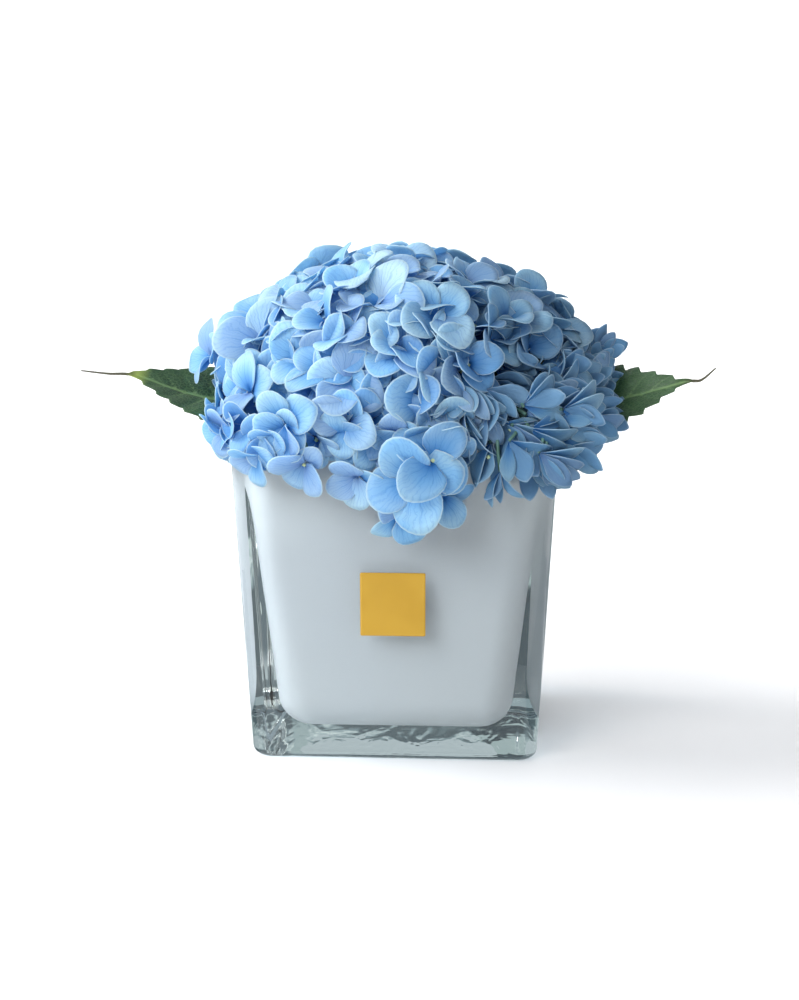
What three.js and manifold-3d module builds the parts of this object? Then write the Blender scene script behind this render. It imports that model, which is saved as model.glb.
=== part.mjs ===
// Cut hydrangeas in a square glass vase, in millimetres, +Z up.
// The origin is the middle of the vase's flat underside, and the front of the vase faces -Y.
// The vase is clear pressed glass with a white lining, filled with wet floral foam. Five flower
// heads stand in the foam on woody stems, and a single leaf is pushed in on the left and the right.
import * as THREE from "three";
import { mergeVertices } from "three/addons/utils/BufferGeometryUtils.js";
import Module from "manifold-3d";

const wasm = await Module();
wasm.setup();

// ---------- driving dimensions ----------

const VASE = {
  height: 136,
  footHalf: 60.5,
  rimHalf: 67.5,
  cornerRadius: 9,
  footRadius: 4,
  footSteps: 3,
  lipRadius: 1.6,
};
const CAVITY = {
  floorZ: 11.5,
  floorHalf: 50.6,
  rimHalf: 63,
  cornerRadius: 11,
  floorCornerRadius: 14,
  floorRadius: 12,
  floorSteps: 4,
};
const CORNER_STEPS = 3; // flats round a quarter of each corner seen from above
const LEAST_CORNER = 1.5; // the tightest corner of a ring on the floor
const LINING = { thickness: 1.2, belowRim: 1.0 };
const FOAM = { topZ: 129, gapToLining: 0.4 };
const LABEL = { size: 27, thickness: 0.4, centreZ: 68.5 };
const STEM = { radius: 3.4, footZ: 52, sides: 8, footShare: 0.45 };
const FIT_GAP = 0.3; // what touching pieces keep between them
const HOLE_GAP = 0.4; // what a stem or a leaf has round it in its hole

// The florets' centres lie on one dome over the rim.
const DOME = { centre: [1, 0, 154], radii: [84, 81, 54.5], seed: 7 };

// Each head grows from its heart, where its stem ends. The core is the dense ball of stalks round the
// heart, reach sets how far the head pushes against its neighbours, shift moves its florets off the dome,
// and cup is how far its petals close, in degrees.
const HEADS = [
  { name: "front", heart: [4, -36, 158], core: [38, 34, 34], reach: 40, shift: [0, 0, 0], cup: [4, 24] },
  { name: "left", heart: [-44, -16, 142], core: [32, 46, 46], reach: 46, shift: [5, 0, 0], cup: [2, 20] },
  { name: "right", heart: [50, -12, 146], core: [34, 48, 42], reach: 51, shift: [3, 0, -4], cup: [12, 40] },
  { name: "back", heart: [0, 38, 150], core: [52, 34, 40], reach: 44, shift: [0, 0, 0], cup: [4, 28] },
  { name: "crown", heart: [-2, 2, 168], core: [38, 34, 30], reach: 38, shift: [0, 0, 0], cup: [2, 24] },
];
const HEAD_GAP = 0.25; // each head stays this far on its own side of the plane to its neighbour
const BEND = { from: 7, to: 0.9 }; // a petal bends over this stretch before that plane
const CORE_FLOOR = 2.5; // the cores end this far over the rim
const MERGE_WITHIN = 0.1; // faces in a head that differ by less are one

const FLORET = {
  petals: 4,
  spacing: 26,
  crowding: 0.62, // share of the spacing under which a floret is left out
  radius: 19.5,
  radiusSpread: 1.8,
  thickness: 0.9,
  notchShare: 0.26,
  droop: 1.5, // the petals' middle lines lie this far under the floret's centre
  edgeRise: 1.2, // and their sides stand this far over their middle lines
  liftSpread: 4,
  outward: 0.5, // how far the florets turn from the dome's own slope to face away from the heart
  tiltSpread: 0.34,
  jitter: 2,
  sunk: 0.7,
  rootDepth: 4,
  vaseClearance: 1.2,
  centreClearance: 5,
};
const STRAY_CUP_SPREAD = 5;

// The florets that hang below the rim: how low they go, and the stalks that carry them.
const SKIRT = { above: 6, lowestSide: 129, lowestFront: 122, frontHalf: 45 };
const STALK = { radius: 1, sides: 4, steps: 4, rootAbove: 12, rise: 5, overRim: 3, clearance: 3.5 };
const CALYX = { depth: 2.5, clearance: 0.6, seat: 1.2, seatClearance: 1.5 }; // the knob behind such a floret

// One petal's outline from notch to notch: degrees from its middle line, and the share of its length.
const PETAL_SPAN = 30;
const PETAL_OUTLINE = [
  [-PETAL_SPAN, 0.86],
  [0, 1.0],
  [PETAL_SPAN, 0.86],
];

// Florets that stand out of the dome or hang below the rim: their centre, the way they face, how far
// they are turned, their radius and how far their petals close.
const STRAYS = [
  { at: [8, -85, 135], facing: [0.05, -1, 0.1], turn: 40, radius: 23, cup: 4 },
  { at: [3, -75, 108], facing: [0.1, -1, -0.3], turn: 45, radius: 14, cup: 2 },
  { at: [20, -77, 117], facing: [0.3, -1, -0.5], turn: 20, radius: 17, cup: 12 },
  { at: [-13, -78, 124], facing: [-0.2, -1, -0.2], turn: 10, radius: 18, cup: 8 },
  { at: [-17, -80, 145], facing: [-0.2, -1, 0.1], turn: 70, radius: 19, cup: 16 },
  { at: [29, -79, 139], facing: [0.3, -1, -0.1], turn: 0, radius: 18, cup: 30 },
  { at: [-34, -77, 129], facing: [-0.2, -1, -0.3], turn: 50, radius: 19, cup: 8 },
  { at: [-41, -79, 145], facing: [-0.4, -1, 0], turn: 30, radius: 19.5, cup: 8 },
  { at: [-54, -74, 131], facing: [-0.4, -1, -0.3], turn: 15, radius: 17, cup: 10 },
  { at: [-68, -58, 140], facing: [-1, -1, -0.3], turn: 0, radius: 17, cup: 14 },
  { at: [-83, -8, 167], facing: [-1, -0.5, 0.3], turn: 20, radius: 18, cup: 18 },
  { at: [42, -77, 122], facing: [0.3, -1, -0.6], turn: 5, radius: 17, cup: 48 },
  { at: [51, -76, 143], facing: [0.4, -1, 0], turn: 45, radius: 18, cup: 34 },
  { at: [66, -69, 143], facing: [0.7, -1, 0], turn: 15, radius: 19, cup: 20 },
  { at: [61, -73, 128], facing: [0.4, -1, -0.4], turn: 35, radius: 17, cup: 38 },
  { at: [72, -60, 138], facing: [1, -0.8, -0.4], turn: 60, radius: 17, cup: 28 },
  { at: [83, -34, 144], facing: [1, -0.4, -0.2], turn: 30, radius: 17, cup: 30 },
  { at: [87, -4, 168], facing: [1, -0.3, 0.4], turn: 10, radius: 17, cup: 26 },
  { at: [-75, -24, 133], facing: [-1, -0.1, -0.2], turn: 30, radius: 18, cup: 4 },
  { at: [-76, 22, 129], facing: [-1, 0.1, -0.2], turn: 10, radius: 18, cup: 6 },
  { at: [78, 24, 133], facing: [1, 0.1, -0.2], turn: 25, radius: 18, cup: 10 },
  { at: [-64, 62, 143], facing: [-1, 1, 0], turn: 40, radius: 19, cup: 10 },
  { at: [67, 61, 143], facing: [1, 1, 0], turn: 5, radius: 19, cup: 14 },
];

// Each leaf's petiole climbs out of the foam over the rim, and its rib runs on to the dried tip.
// Its blade takes up a share of the rib and rolls from one angle at the rim to another outside, so that
// its face turns to the front. widestBy moves its widest place: a small number draws out the tip.
const LEAVES = [
  {
    name: "leaf_left",
    petiole: [[-42, 14, 112], [-43, 14, 130], [-47, 13, 139], [-56, 11.5, 143]],
    rib: [
      [-52, 12, 142.5],
      [-70, 6, 144],
      [-97, 0, 150],
      [-121, -4, 158.5],
      [-131, -4.5, 159],
      [-143, -6, 160.5],
    ],
    blade: { share: 0.78, halfWidth: 21, widestBy: 0.72, roll: [6, 42] },
  },
  {
    name: "leaf_right",
    petiole: [[42, 14, 112], [43, 14, 130], [48, 13, 139], [58, 11, 143]],
    rib: [
      [54, 12, 142.5],
      [76, 6, 143],
      [104, -3, 150],
      [127, -10, 157],
      [131, -11, 157.5],
      [137, -13, 163],
    ],
    blade: { share: 0.87, halfWidth: 24, widestBy: 0.88, roll: [6, 50] },
  },
];
const LEAF = {
  thickness: 0.9,
  teeth: 11,
  toothDepth: 1.7,
  toothLean: 1.6,
  tailSteps: 5,
  tailHalfWidth: 0.8,
  fold: 10,
  rolledBy: 0.45, // share of the blade's length at which it has its full roll
  petioleRadius: 1.5,
  petioleSides: 6,
  petioleSteps: 7,
  floretClearance: 14,
};

const COLOURS = {
  glass: { color: 0xdfe9e8, roughness: 0.05, metalness: 0, transparent: true, opacity: 0.35 },
  lining: { color: 0xeef2f4, roughness: 0.25, metalness: 0 },
  foam: { color: 0x3f6b3c, roughness: 0.95, metalness: 0 },
  label: { color: 0xdba72f, roughness: 0.45, metalness: 0.1 },
  petals: { color: 0x86b0e6, roughness: 0.65, metalness: 0 },
  stem: { color: 0x5d7a3c, roughness: 0.7, metalness: 0 },
  leaf: { color: 0x3c6532, roughness: 0.55, metalness: 0 },
};

// ---------- helpers ----------

const SAME_POINT = 1e-3; // corners nearer than this are one
const UP = new THREE.Vector3(0, 0, 1);
const point = (xyz) => new THREE.Vector3(...xyz);
const radians = THREE.MathUtils.degToRad;
const mix = THREE.MathUtils.lerp;

// The same run of numbers from 0 to 1 for the same seed.
function seededRandom(seed) {
  let state = seed;
  return () => {
    state = (state + 0x6d2b79f5) | 0;
    let t = Math.imul(state ^ (state >>> 15), 1 | state);
    t = (t + Math.imul(t ^ (t >>> 7), 61 | t)) ^ t;
    return ((t ^ (t >>> 14)) >>> 0) / 2 ** 32;
  };
}

// A solid from one closed geometry, turned the right way out.
function solidOf(geometry) {
  geometry.deleteAttribute("normal");
  geometry.deleteAttribute("uv");
  const { attributes, index } = mergeVertices(geometry, SAME_POINT);
  const build = (triVerts) =>
    new wasm.Manifold(new wasm.Mesh({ numProp: 3, vertProperties: attributes.position.array, triVerts }));
  const made = build(new Uint32Array(index.array));
  return made.volume() > 0 ? made : build(new Uint32Array(index.array).reverse());
}

function solidFrom(points, triangles) {
  return solidOf(new THREE.BufferGeometry().setFromPoints(points).setIndex(triangles.flat()));
}

// A solid skinned over closed rings of equal length, with a flat fan over the first and the last.
function loft(rings) {
  const count = rings[0].length;
  const points = rings.flat();
  const triangles = [];
  rings.slice(1).forEach((_, r) => {
    for (let i = 0; i < count; i++) {
      const a = r * count + i;
      const b = r * count + ((i + 1) % count);
      triangles.push([a, b, b + count], [a, b + count, a + count]);
    }
  });
  [rings[0], rings.at(-1)].forEach((ring, end) => {
    const middle = ring.reduce((sum, p) => sum.add(p), new THREE.Vector3()).divideScalar(count);
    const first = end * (rings.length - 1) * count;
    points.push(middle);
    for (let i = 0; i < count; i++) {
      const pair = [first + i, first + ((i + 1) % count)];
      triangles.push(end ? [...pair, points.length - 1] : [pair[1], pair[0], points.length - 1]);
    }
  });
  return solidFrom(points, triangles);
}

// A square ring with round corners at height z.
function squareRing(half, radius, z) {
  const ring = [];
  for (let corner = 0; corner < 4; corner++) {
    for (let step = 0; step <= CORNER_STEPS; step++) {
      const angle = (corner + step / CORNER_STEPS) * (Math.PI / 2);
      const centreX = (half - radius) * [1, -1, -1, 1][corner];
      const centreY = (half - radius) * [1, 1, -1, -1][corner];
      ring.push(new THREE.Vector3(centreX + radius * Math.cos(angle), centreY + radius * Math.sin(angle), z));
    }
  }
  return ring;
}

// A tube with flat sides along a smooth line through some points.
function tube(points, radius, sides, steps) {
  const section = new THREE.Shape(
    Array.from({ length: sides }, (_, i) => {
      const angle = (i / sides) * 2 * Math.PI;
      return new THREE.Vector2(radius * Math.cos(angle), radius * Math.sin(angle));
    }),
  );
  const extrudePath = new THREE.CatmullRomCurve3(points);
  return solidOf(new THREE.ExtrudeGeometry(section, { steps, extrudePath, bevelEnabled: false }));
}

// The largest body of a solid: small scraps that a cut leaves are dropped.
const largest = (made) =>
  made.decompose().reduce((best, body) => (body.volume() > best.volume() ? body : best));

function meshOf(name, made, colour) {
  const { vertProperties, triVerts, numProp } = made.getMesh();
  const places = new Float32Array((vertProperties.length / numProp) * 3);
  for (let i = 0; i < places.length / 3; i++) {
    places.set(vertProperties.subarray(i * numProp, i * numProp + 3), i * 3);
  }
  const geometry = new THREE.BufferGeometry();
  geometry.setAttribute("position", new THREE.BufferAttribute(places, 3));
  geometry.setIndex(new THREE.BufferAttribute(new Uint32Array(triVerts), 1));
  geometry.computeVertexNormals();
  const mesh = new THREE.Mesh(geometry, new THREE.MeshStandardMaterial(colour));
  mesh.name = name;
  return mesh;
}

// ---------- vase, lining, foam and label ----------

const vaseHalf = (z) => mix(VASE.footHalf, VASE.rimHalf, z / VASE.height);
const cavityHalf = (z) =>
  mix(CAVITY.floorHalf, CAVITY.rimHalf, (z - CAVITY.floorZ) / (VASE.height - CAVITY.floorZ));

// Rings round an edge: a quarter turn from the flat at z to the wall, on the inside of the corner.
function roundedEdge(halfAt, z, radius, cornerRadius, steps) {
  return Array.from({ length: steps + 1 }, (_, i) => {
    const angle = (i / steps) * (Math.PI / 2);
    const height = z + radius * (1 - Math.cos(angle));
    const inset = radius * (1 - Math.sin(angle));
    return squareRing(halfAt(height) - inset, Math.max(cornerRadius - inset, LEAST_CORNER), height);
  });
}

// Rings up the inside of the vase, drawn in by a clearance, from the floor to a given height.
function cavityRings(clearance, topZ) {
  const half = (z) => cavityHalf(z) - clearance;
  const floor = CAVITY.floorZ + clearance;
  const radius = CAVITY.floorRadius - clearance;
  const floorRings = roundedEdge(half, floor, radius, CAVITY.floorCornerRadius, CAVITY.floorSteps);
  return [...floorRings, squareRing(half(topZ), CAVITY.cornerRadius, topZ)];
}

function vaseGlass() {
  const lip = VASE.lipRadius;
  const shoulder = lip * (1 - Math.SQRT1_2); // half way round the lip
  const outer = [
    ...roundedEdge(vaseHalf, 0, VASE.footRadius, VASE.cornerRadius, VASE.footSteps),
    squareRing(vaseHalf(VASE.height - lip), VASE.cornerRadius, VASE.height - lip),
    squareRing(VASE.rimHalf - shoulder, VASE.cornerRadius, VASE.height - shoulder),
    squareRing(VASE.rimHalf - lip, VASE.cornerRadius - lip, VASE.height),
  ];
  return loft([...outer, ...cavityRings(0, VASE.height).reverse()]);
}

function vaseLining() {
  const topZ = VASE.height - LINING.belowRim;
  const outer = cavityRings(FIT_GAP, topZ);
  const inner = cavityRings(FIT_GAP + LINING.thickness, topZ).reverse();
  return loft([...outer, ...inner]);
}

function foamBlock(cutters) {
  const block = loft(cavityRings(FIT_GAP + LINING.thickness + FOAM.gapToLining, FOAM.topZ));
  return cutters.reduce((rest, cutter) => rest.subtract(cutter), block);
}

// The plain label lies on the leaning front wall.
function labelPlate() {
  const lean = Math.atan((VASE.rimHalf - VASE.footHalf) / VASE.height);
  const out = vaseHalf(LABEL.centreZ) + FIT_GAP / Math.cos(lean) + LABEL.thickness / 2;
  const plate = new THREE.BoxGeometry(LABEL.size, LABEL.thickness, LABEL.size);
  plate.rotateX(lean);
  plate.translate(0, -out, LABEL.centreZ);
  return solidOf(plate);
}

// ---------- keeping clear of the vase and of the next head ----------

// Distance from the vase, taken as solid up to its rim: negative inside.
function vaseDistance(p) {
  const half = vaseHalf(THREE.MathUtils.clamp(p.z, 0, VASE.height)) - VASE.cornerRadius;
  const x = Math.abs(p.x) - half;
  const y = Math.abs(p.y) - half;
  const across = Math.hypot(Math.max(x, 0), Math.max(y, 0)) + Math.min(Math.max(x, y), 0) - VASE.cornerRadius;
  const above = p.z - VASE.height;
  return Math.hypot(Math.max(across, 0), Math.max(above, 0)) + Math.min(Math.max(across, above), 0);
}

// The way straight out of the vase at a point.
function outOfVase(p) {
  const step = 0.05;
  const change = ["x", "y", "z"].map((axis) => {
    const [before, after] = [p.clone(), p.clone()];
    before[axis] -= step;
    after[axis] += step;
    return vaseDistance(after) - vaseDistance(before);
  });
  return point(change).normalize();
}

// Moves a point of a petal straight out of the vase until it has its clearance.
function clearOfVase(p, clearance) {
  for (let round = 0; round < 3; round++) {
    const short = clearance - vaseDistance(p);
    if (short > 0) p.addScaledVector(outOfVase(p), short);
  }
  return p;
}

// The planes between one head and the others: where two balls of their reaches would meet.
function boundaries(head) {
  return HEADS.filter((other) => other !== head).map((other) => {
    const from = point(head.heart);
    const towards = point(other.heart).sub(from);
    const apart = towards.length();
    const share = (apart ** 2 + head.reach ** 2 - other.reach ** 2) / (2 * apart);
    const normal = towards.normalize();
    return { normal, offset: normal.dot(from) + share };
  });
}

// Bends a point back to its own side of each boundary, ever more gently the further past it lies.
function clearOfHeads(p, planes) {
  const room = BEND.from - BEND.to;
  for (const { normal, offset } of planes) {
    const past = normal.dot(p) - offset;
    if (past > -BEND.from) {
      const kept = -BEND.to - room * Math.exp(-(past + BEND.from) / room);
      p.addScaledVector(normal, kept - past);
    }
  }
  return p;
}

// ---------- florets ----------

// The head on whose side of every boundary a point lies.
const headAt = (p) =>
  HEADS.find((head) => boundaries(head).every(({ normal, offset }) => normal.dot(p) < offset));

// How many florets cover the whole dome, packed like a honeycomb over an ellipsoid's surface.
function floretCount() {
  const [a, b, c] = DOME.radii;
  const power = 1.6;
  const mean = ((a * b) ** power + (a * c) ** power + (b * c) ** power) / 3;
  const area = 4 * Math.PI * mean ** (1 / power);
  return Math.round(area / ((Math.sqrt(3) / 2) * FLORET.spacing ** 2));
}

const strayPlaces = () =>
  STRAYS.map(({ at, facing, turn, radius, cup }) => ({
    head: headAt(point(at)),
    at: point(at),
    facing: point(facing).normalize(),
    turn: radians(turn),
    radius,
    cup: [cup, cup + STRAY_CUP_SPREAD],
  }));

// A floret's centre is clear above the rim, and below it in front of the vase but not far down.
function clearOfRim(at) {
  if (at.z > VASE.height + SKIRT.above) return true;
  const inFront = at.y < 0 && Math.abs(at.x) < SKIRT.frontHalf;
  return at.z > (inFront ? SKIRT.lowestFront : SKIRT.lowestSide) && vaseDistance(at) > FLORET.centreClearance;
}

// Where the florets sit: the strays, then even turns of the golden angle over the dome.
function floretPlaces() {
  const random = seededRandom(DOME.seed);
  const golden = Math.PI * (3 - Math.sqrt(5));
  const places = strayPlaces();
  const count = floretCount();
  const nearest = FLORET.spacing * FLORET.crowding;
  for (let k = 0; k < count; k++) {
    const up = 1 - (2 * (k + 0.5)) / count;
    const round = Math.sqrt(1 - up * up);
    const way = new THREE.Vector3(round * Math.cos(k * golden), round * Math.sin(k * golden), up);
    const draw = Array.from({ length: 9 }, () => random() - 0.5);
    const at = way.clone().multiply(point(DOME.radii)).add(point(DOME.centre));
    const head = headAt(at);
    at.add(point(head.shift)).add(point(draw.slice(0, 3)).multiplyScalar(2 * FLORET.jitter));
    const crowded = places.some((other) => other.at.distanceTo(at) < nearest);
    const overLeaf = LEAVES.some((leaf) =>
      leaf.rib.slice(2).some((p) => point(p).distanceTo(at) < LEAF.floretClearance),
    );
    if (!clearOfRim(at) || crowded || overLeaf) continue;
    const facing = way.divide(point(DOME.radii)).normalize();
    facing.lerp(at.clone().sub(point(head.heart)).normalize(), FLORET.outward);
    facing.add(point(draw.slice(3, 6)).multiplyScalar(2 * FLORET.tiltSpread)).normalize();
    const cup = [mix(...head.cup, draw[8] + 0.5), mix(...head.cup, draw[3] + 0.5)];
    const radius = FLORET.radius + draw[7] * 2 * FLORET.radiusSpread;
    at.addScaledVector(facing, -FLORET.sunk * radius * Math.sin(radians(cup[0] + cup[1]) / 2));
    places.push({ head, at, facing, turn: draw[6] * Math.PI, radius, cup });
  }
  return places;
}

const hangs = (at) => at.z < VASE.height + SKIRT.above;

// The nearest point to a floret that lies well inside its head's core.
function rootOf(at, head) {
  const core = point(head.core).subScalar(FLORET.rootDepth);
  const heart = point(head.heart);
  const inward = at.clone().sub(heart);
  if (hangs(at)) inward.z = Math.max(inward.z, VASE.height + STALK.rootAbove - heart.z);
  const reach = inward.clone().divide(core).length();
  return inward.divideScalar(Math.max(reach, 1)).add(heart);
}

// A floret below the rim hangs on a stalk that comes out of the core over the rim and bends down.
function hangingStalk(at, facing, head) {
  const over = new THREE.Vector3(at.x, at.y, Math.max(at.z + STALK.rise, VASE.height + STALK.overRim));
  clearOfVase(over, STALK.clearance);
  const behind = clearOfVase(at.clone().addScaledVector(facing, -CALYX.seat), CALYX.seatClearance);
  return tube([rootOf(at, head), over, behind], STALK.radius, STALK.sides, STALK.steps);
}

function floretSolid({ at, facing, turn, radius, cup, head }) {
  const planes = boundaries(head);
  const across = UP.clone().cross(facing).normalize();
  const upward = new THREE.Vector3().crossVectors(facing, across);
  const place = (angle, reach, rise) =>
    at
      .clone()
      .addScaledVector(across, reach * Math.cos(angle))
      .addScaledVector(upward, reach * Math.sin(angle))
      .addScaledVector(facing, rise);

  // The floret's middle surface: its centre, the notches between petals, and the petals' outlines.
  const points = [place(0, 0, 0)];
  const petals = [];
  for (let k = 0; k < FLORET.petals; k++) {
    const middle = turn + (k / FLORET.petals) * 2 * Math.PI;
    const lift = radians(cup[k % 2] + FLORET.liftSpread * (k > 1));
    points.push(place(middle - Math.PI / FLORET.petals, radius * FLORET.notchShare, 0));
    petals.push(points.length - 1);
    for (const [degrees, share] of PETAL_OUTLINE) {
      const reach = radius * share;
      const rise = FLORET.edgeRise * Math.abs(degrees / PETAL_SPAN) - FLORET.droop;
      points.push(place(middle + radians(degrees), reach * Math.cos(lift), reach * Math.sin(lift) + rise));
    }
  }
  points.forEach((p) => clearOfVase(clearOfHeads(p, planes), FLORET.vaseClearance));

  const faces = [];
  petals.forEach((notch, k) => {
    const next = petals[(k + 1) % FLORET.petals];
    const outline = [notch, ...PETAL_OUTLINE.map((_, i) => notch + 1 + i), next];
    faces.push([0, notch, next]);
    for (let i = 1; i < outline.length - 1; i++) faces.push([notch, outline[i], outline[i + 1]]);
  });
  if (!hangs(at)) return thickened(points, faces, rootOf(at, head));
  const root = clearOfVase(points[0].clone().addScaledVector(facing, -CALYX.depth), CALYX.clearance);
  return thickened(points, faces, root).add(hangingStalk(points[0], facing, head));
}

// Gives a middle surface its thickness, with its centre drawn down to a root under the notches.
function thickened(points, faces, root) {
  const normals = points.map(() => new THREE.Vector3());
  for (const [a, b, c] of faces) {
    const flat = new THREE.Vector3()
      .subVectors(points[b], points[a])
      .cross(new THREE.Vector3().subVectors(points[c], points[a]));
    [a, b, c].forEach((i) => normals[i].add(flat));
  }
  normals.forEach((n) => n.normalize());
  const half = FLORET.thickness / 2;
  const top = points.map((p, i) => p.clone().addScaledVector(normals[i], half));
  const bottom = points.map((p, i) => p.clone().addScaledVector(normals[i], -half));
  bottom[0] = root;
  const count = points.length;
  const triangles = faces.flatMap(([a, b, c]) => [[a, b, c], [c + count, b + count, a + count]]);
  for (let i = 1; i < count; i++) {
    const next = i + 1 < count ? i + 1 : 1;
    triangles.push([next, i, i + count], [next, i + count, next + count]);
  }
  return solidFrom([...top, ...bottom], triangles);
}

// ---------- stems, heads and leaves ----------

// A stem runs straight from its foot in the foam to the heart of its head.
function stemSolid(head, grow = 0) {
  const top = point(head.heart);
  const foot = new THREE.Vector3(top.x * STEM.footShare, top.y * STEM.footShare, STEM.footZ);
  const along = top.clone().sub(foot);
  const length = along.length() + 2 * grow;
  const stem = new THREE.CylinderGeometry(STEM.radius + grow, STEM.radius + grow, length, STEM.sides);
  const cylinderAxis = new THREE.Vector3(0, 1, 0);
  stem.applyQuaternion(new THREE.Quaternion().setFromUnitVectors(cylinderAxis, along.normalize()));
  const middle = top.lerp(foot, 0.5);
  return solidOf(stem.translate(middle.x, middle.y, middle.z));
}

// The core: a faceted ball stretched to the head's own half sizes, flat over the rim.
function coreSolid(head) {
  const ball = new THREE.IcosahedronGeometry(1, 2).scale(...head.core).translate(...head.heart);
  return solidOf(ball).trimByPlane([0, 0, 1], VASE.height + CORE_FLOOR);
}

// A head: its florets fused to its core, cut clear of the other heads, the vase, the stems and leaves.
function headSolid(head, places, cutters) {
  const florets = places.filter((place) => place.head === head).map(floretSolid);
  let made = florets.reduce((sum, floret) => sum.add(floret), coreSolid(head));
  for (const { normal, offset } of boundaries(head)) {
    made = made.trimByPlane([-normal.x, -normal.y, -normal.z], HEAD_GAP - offset);
  }
  made = cutters.reduce((rest, cutter) => rest.subtract(cutter), made);
  return largest(made.simplify(MERGE_WITHIN));
}

// The width of an egg-shaped blade at a share of its length, as a share of its greatest.
const ovate = (t, widestBy) => Math.sin(Math.PI * t ** widestBy) ** 0.8 * (1 - 0.25 * t);

// The blade: a strip folded along its rib, with toothed edges, that narrows to the dried tail.
function leafBlade({ rib: ribPoints, blade }, grow) {
  const rib = new THREE.CatmullRomCurve3(ribPoints.map(point));
  const steps = LEAF.teeth * 2;
  const outward = Math.sign(ribPoints[0][0]);
  const fold = radians(LEAF.fold);
  const half = LEAF.thickness / 2 + grow;
  const rings = [];
  for (let i = 0; i <= steps + LEAF.tailSteps; i++) {
    const t = Math.min(i / steps, 1);
    const share = i <= steps ? t * blade.share : mix(blade.share, 1, (i - steps) / LEAF.tailSteps);
    const tooth = i % 2 === 1 && i < steps;
    const along = rib.getTangentAt(share);
    const at = rib.getPointAt(share);
    if (i === 0) at.addScaledVector(along, -grow);
    if (share === 1) at.addScaledVector(along, grow);
    const roll = radians(mix(...blade.roll, Math.min(1, t / LEAF.rolledBy)));
    const side = new THREE.Vector3().crossVectors(along, UP).normalize();
    side.applyAxisAngle(along, roll * outward);
    const out = new THREE.Vector3().crossVectors(side, along).normalize();
    const cut = tooth ? 0 : LEAF.toothDepth;
    const width = Math.max(blade.halfWidth * ovate(t, blade.widestBy) - cut, LEAF.tailHalfWidth) + grow;
    const lean = tooth ? LEAF.toothLean : 0;
    const row = [-1, 0, 1].map((s) =>
      at
        .clone()
        .addScaledVector(side, s * width * Math.cos(fold))
        .addScaledVector(out, Math.abs(s) * width * Math.sin(fold))
        .addScaledVector(along, Math.abs(s) * lean),
    );
    const top = row.map((p) => p.clone().addScaledVector(out, half));
    const bottom = row.map((p) => p.clone().addScaledVector(out, -half));
    rings.push([...top, ...bottom.reverse()]);
  }
  return loft(rings);
}

function leafSolid(leaf, grow = 0) {
  const petiole = leaf.petiole.map(point);
  return leafBlade(leaf, grow).add(
    tube(petiole, LEAF.petioleRadius + grow, LEAF.petioleSides, LEAF.petioleSteps),
  );
}

// The room that a leaf needs in the foam and between the florets: with round ends to its petiole.
function leafRoom(leaf, gap) {
  const ends = [leaf.petiole[0], leaf.petiole.at(-1)];
  const ball = (end) => solidOf(new THREE.IcosahedronGeometry(LEAF.petioleRadius + gap, 1).translate(...end));
  return ends.reduce((room, end) => room.add(ball(end)), leafSolid(leaf, gap));
}

// What the heads keep out of: the vase with its gap, closed by a low lid within the rim.
function vaseRoom() {
  const lid = 1;
  return loft([
    squareRing(VASE.footHalf + FIT_GAP, VASE.cornerRadius, -lid),
    squareRing(VASE.rimHalf + FIT_GAP, VASE.cornerRadius, VASE.height),
    squareRing(VASE.rimHalf - lid, VASE.cornerRadius, VASE.height + lid),
  ]);
}

// ---------- the whole ----------

const bouquet = new THREE.Group();
const stemHoles = HEADS.map((head) => stemSolid(head, HOLE_GAP));
const leafHoles = LEAVES.map((leaf) => leafRoom(leaf, HOLE_GAP));
bouquet.add(meshOf("vase_glass", vaseGlass(), COLOURS.glass));
bouquet.add(meshOf("vase_lining", vaseLining(), COLOURS.lining));
bouquet.add(meshOf("floral_foam", foamBlock([...stemHoles, ...leafHoles]), COLOURS.foam));
bouquet.add(meshOf("label_plate", labelPlate(), COLOURS.label));

const places = floretPlaces();
const notPetals = [vaseRoom(), ...stemHoles, ...leafHoles];
for (const head of HEADS) {
  bouquet.add(meshOf(`bloom_${head.name}`, headSolid(head, places, notPetals), COLOURS.petals));
  bouquet.add(meshOf(`stem_${head.name}`, stemSolid(head), COLOURS.stem));
}
for (const leaf of LEAVES) bouquet.add(meshOf(leaf.name, leafSolid(leaf), COLOURS.leaf));

export default bouquet;
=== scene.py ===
"""Cut hydrangeas in a square glass vase: fine petals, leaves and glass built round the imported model.

Lengths are millimetres until a mesh is made, because the part's own dimensions are.
"""

import math

import bpy
import numpy as np
from mathutils import Euler, Matrix, Vector


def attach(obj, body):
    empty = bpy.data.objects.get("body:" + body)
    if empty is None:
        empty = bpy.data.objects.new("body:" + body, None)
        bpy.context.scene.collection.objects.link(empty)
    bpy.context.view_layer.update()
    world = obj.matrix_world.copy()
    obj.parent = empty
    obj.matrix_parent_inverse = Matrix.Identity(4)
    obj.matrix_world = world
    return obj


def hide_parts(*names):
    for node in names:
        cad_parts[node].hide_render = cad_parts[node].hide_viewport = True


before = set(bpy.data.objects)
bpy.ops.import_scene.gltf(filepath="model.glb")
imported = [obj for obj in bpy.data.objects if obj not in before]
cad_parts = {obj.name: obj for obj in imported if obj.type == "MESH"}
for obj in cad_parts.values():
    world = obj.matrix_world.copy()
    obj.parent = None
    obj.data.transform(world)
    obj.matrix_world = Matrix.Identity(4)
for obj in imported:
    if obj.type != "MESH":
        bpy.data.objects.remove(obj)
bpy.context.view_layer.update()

# ---------- dimensions shared with the solids ----------

MM = 0.001
VASE = {"height": 136, "foot_half": 60.5, "rim_half": 67.5, "corner": 9, "foot_radius": 4, "lip_radius": 1.6}
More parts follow.
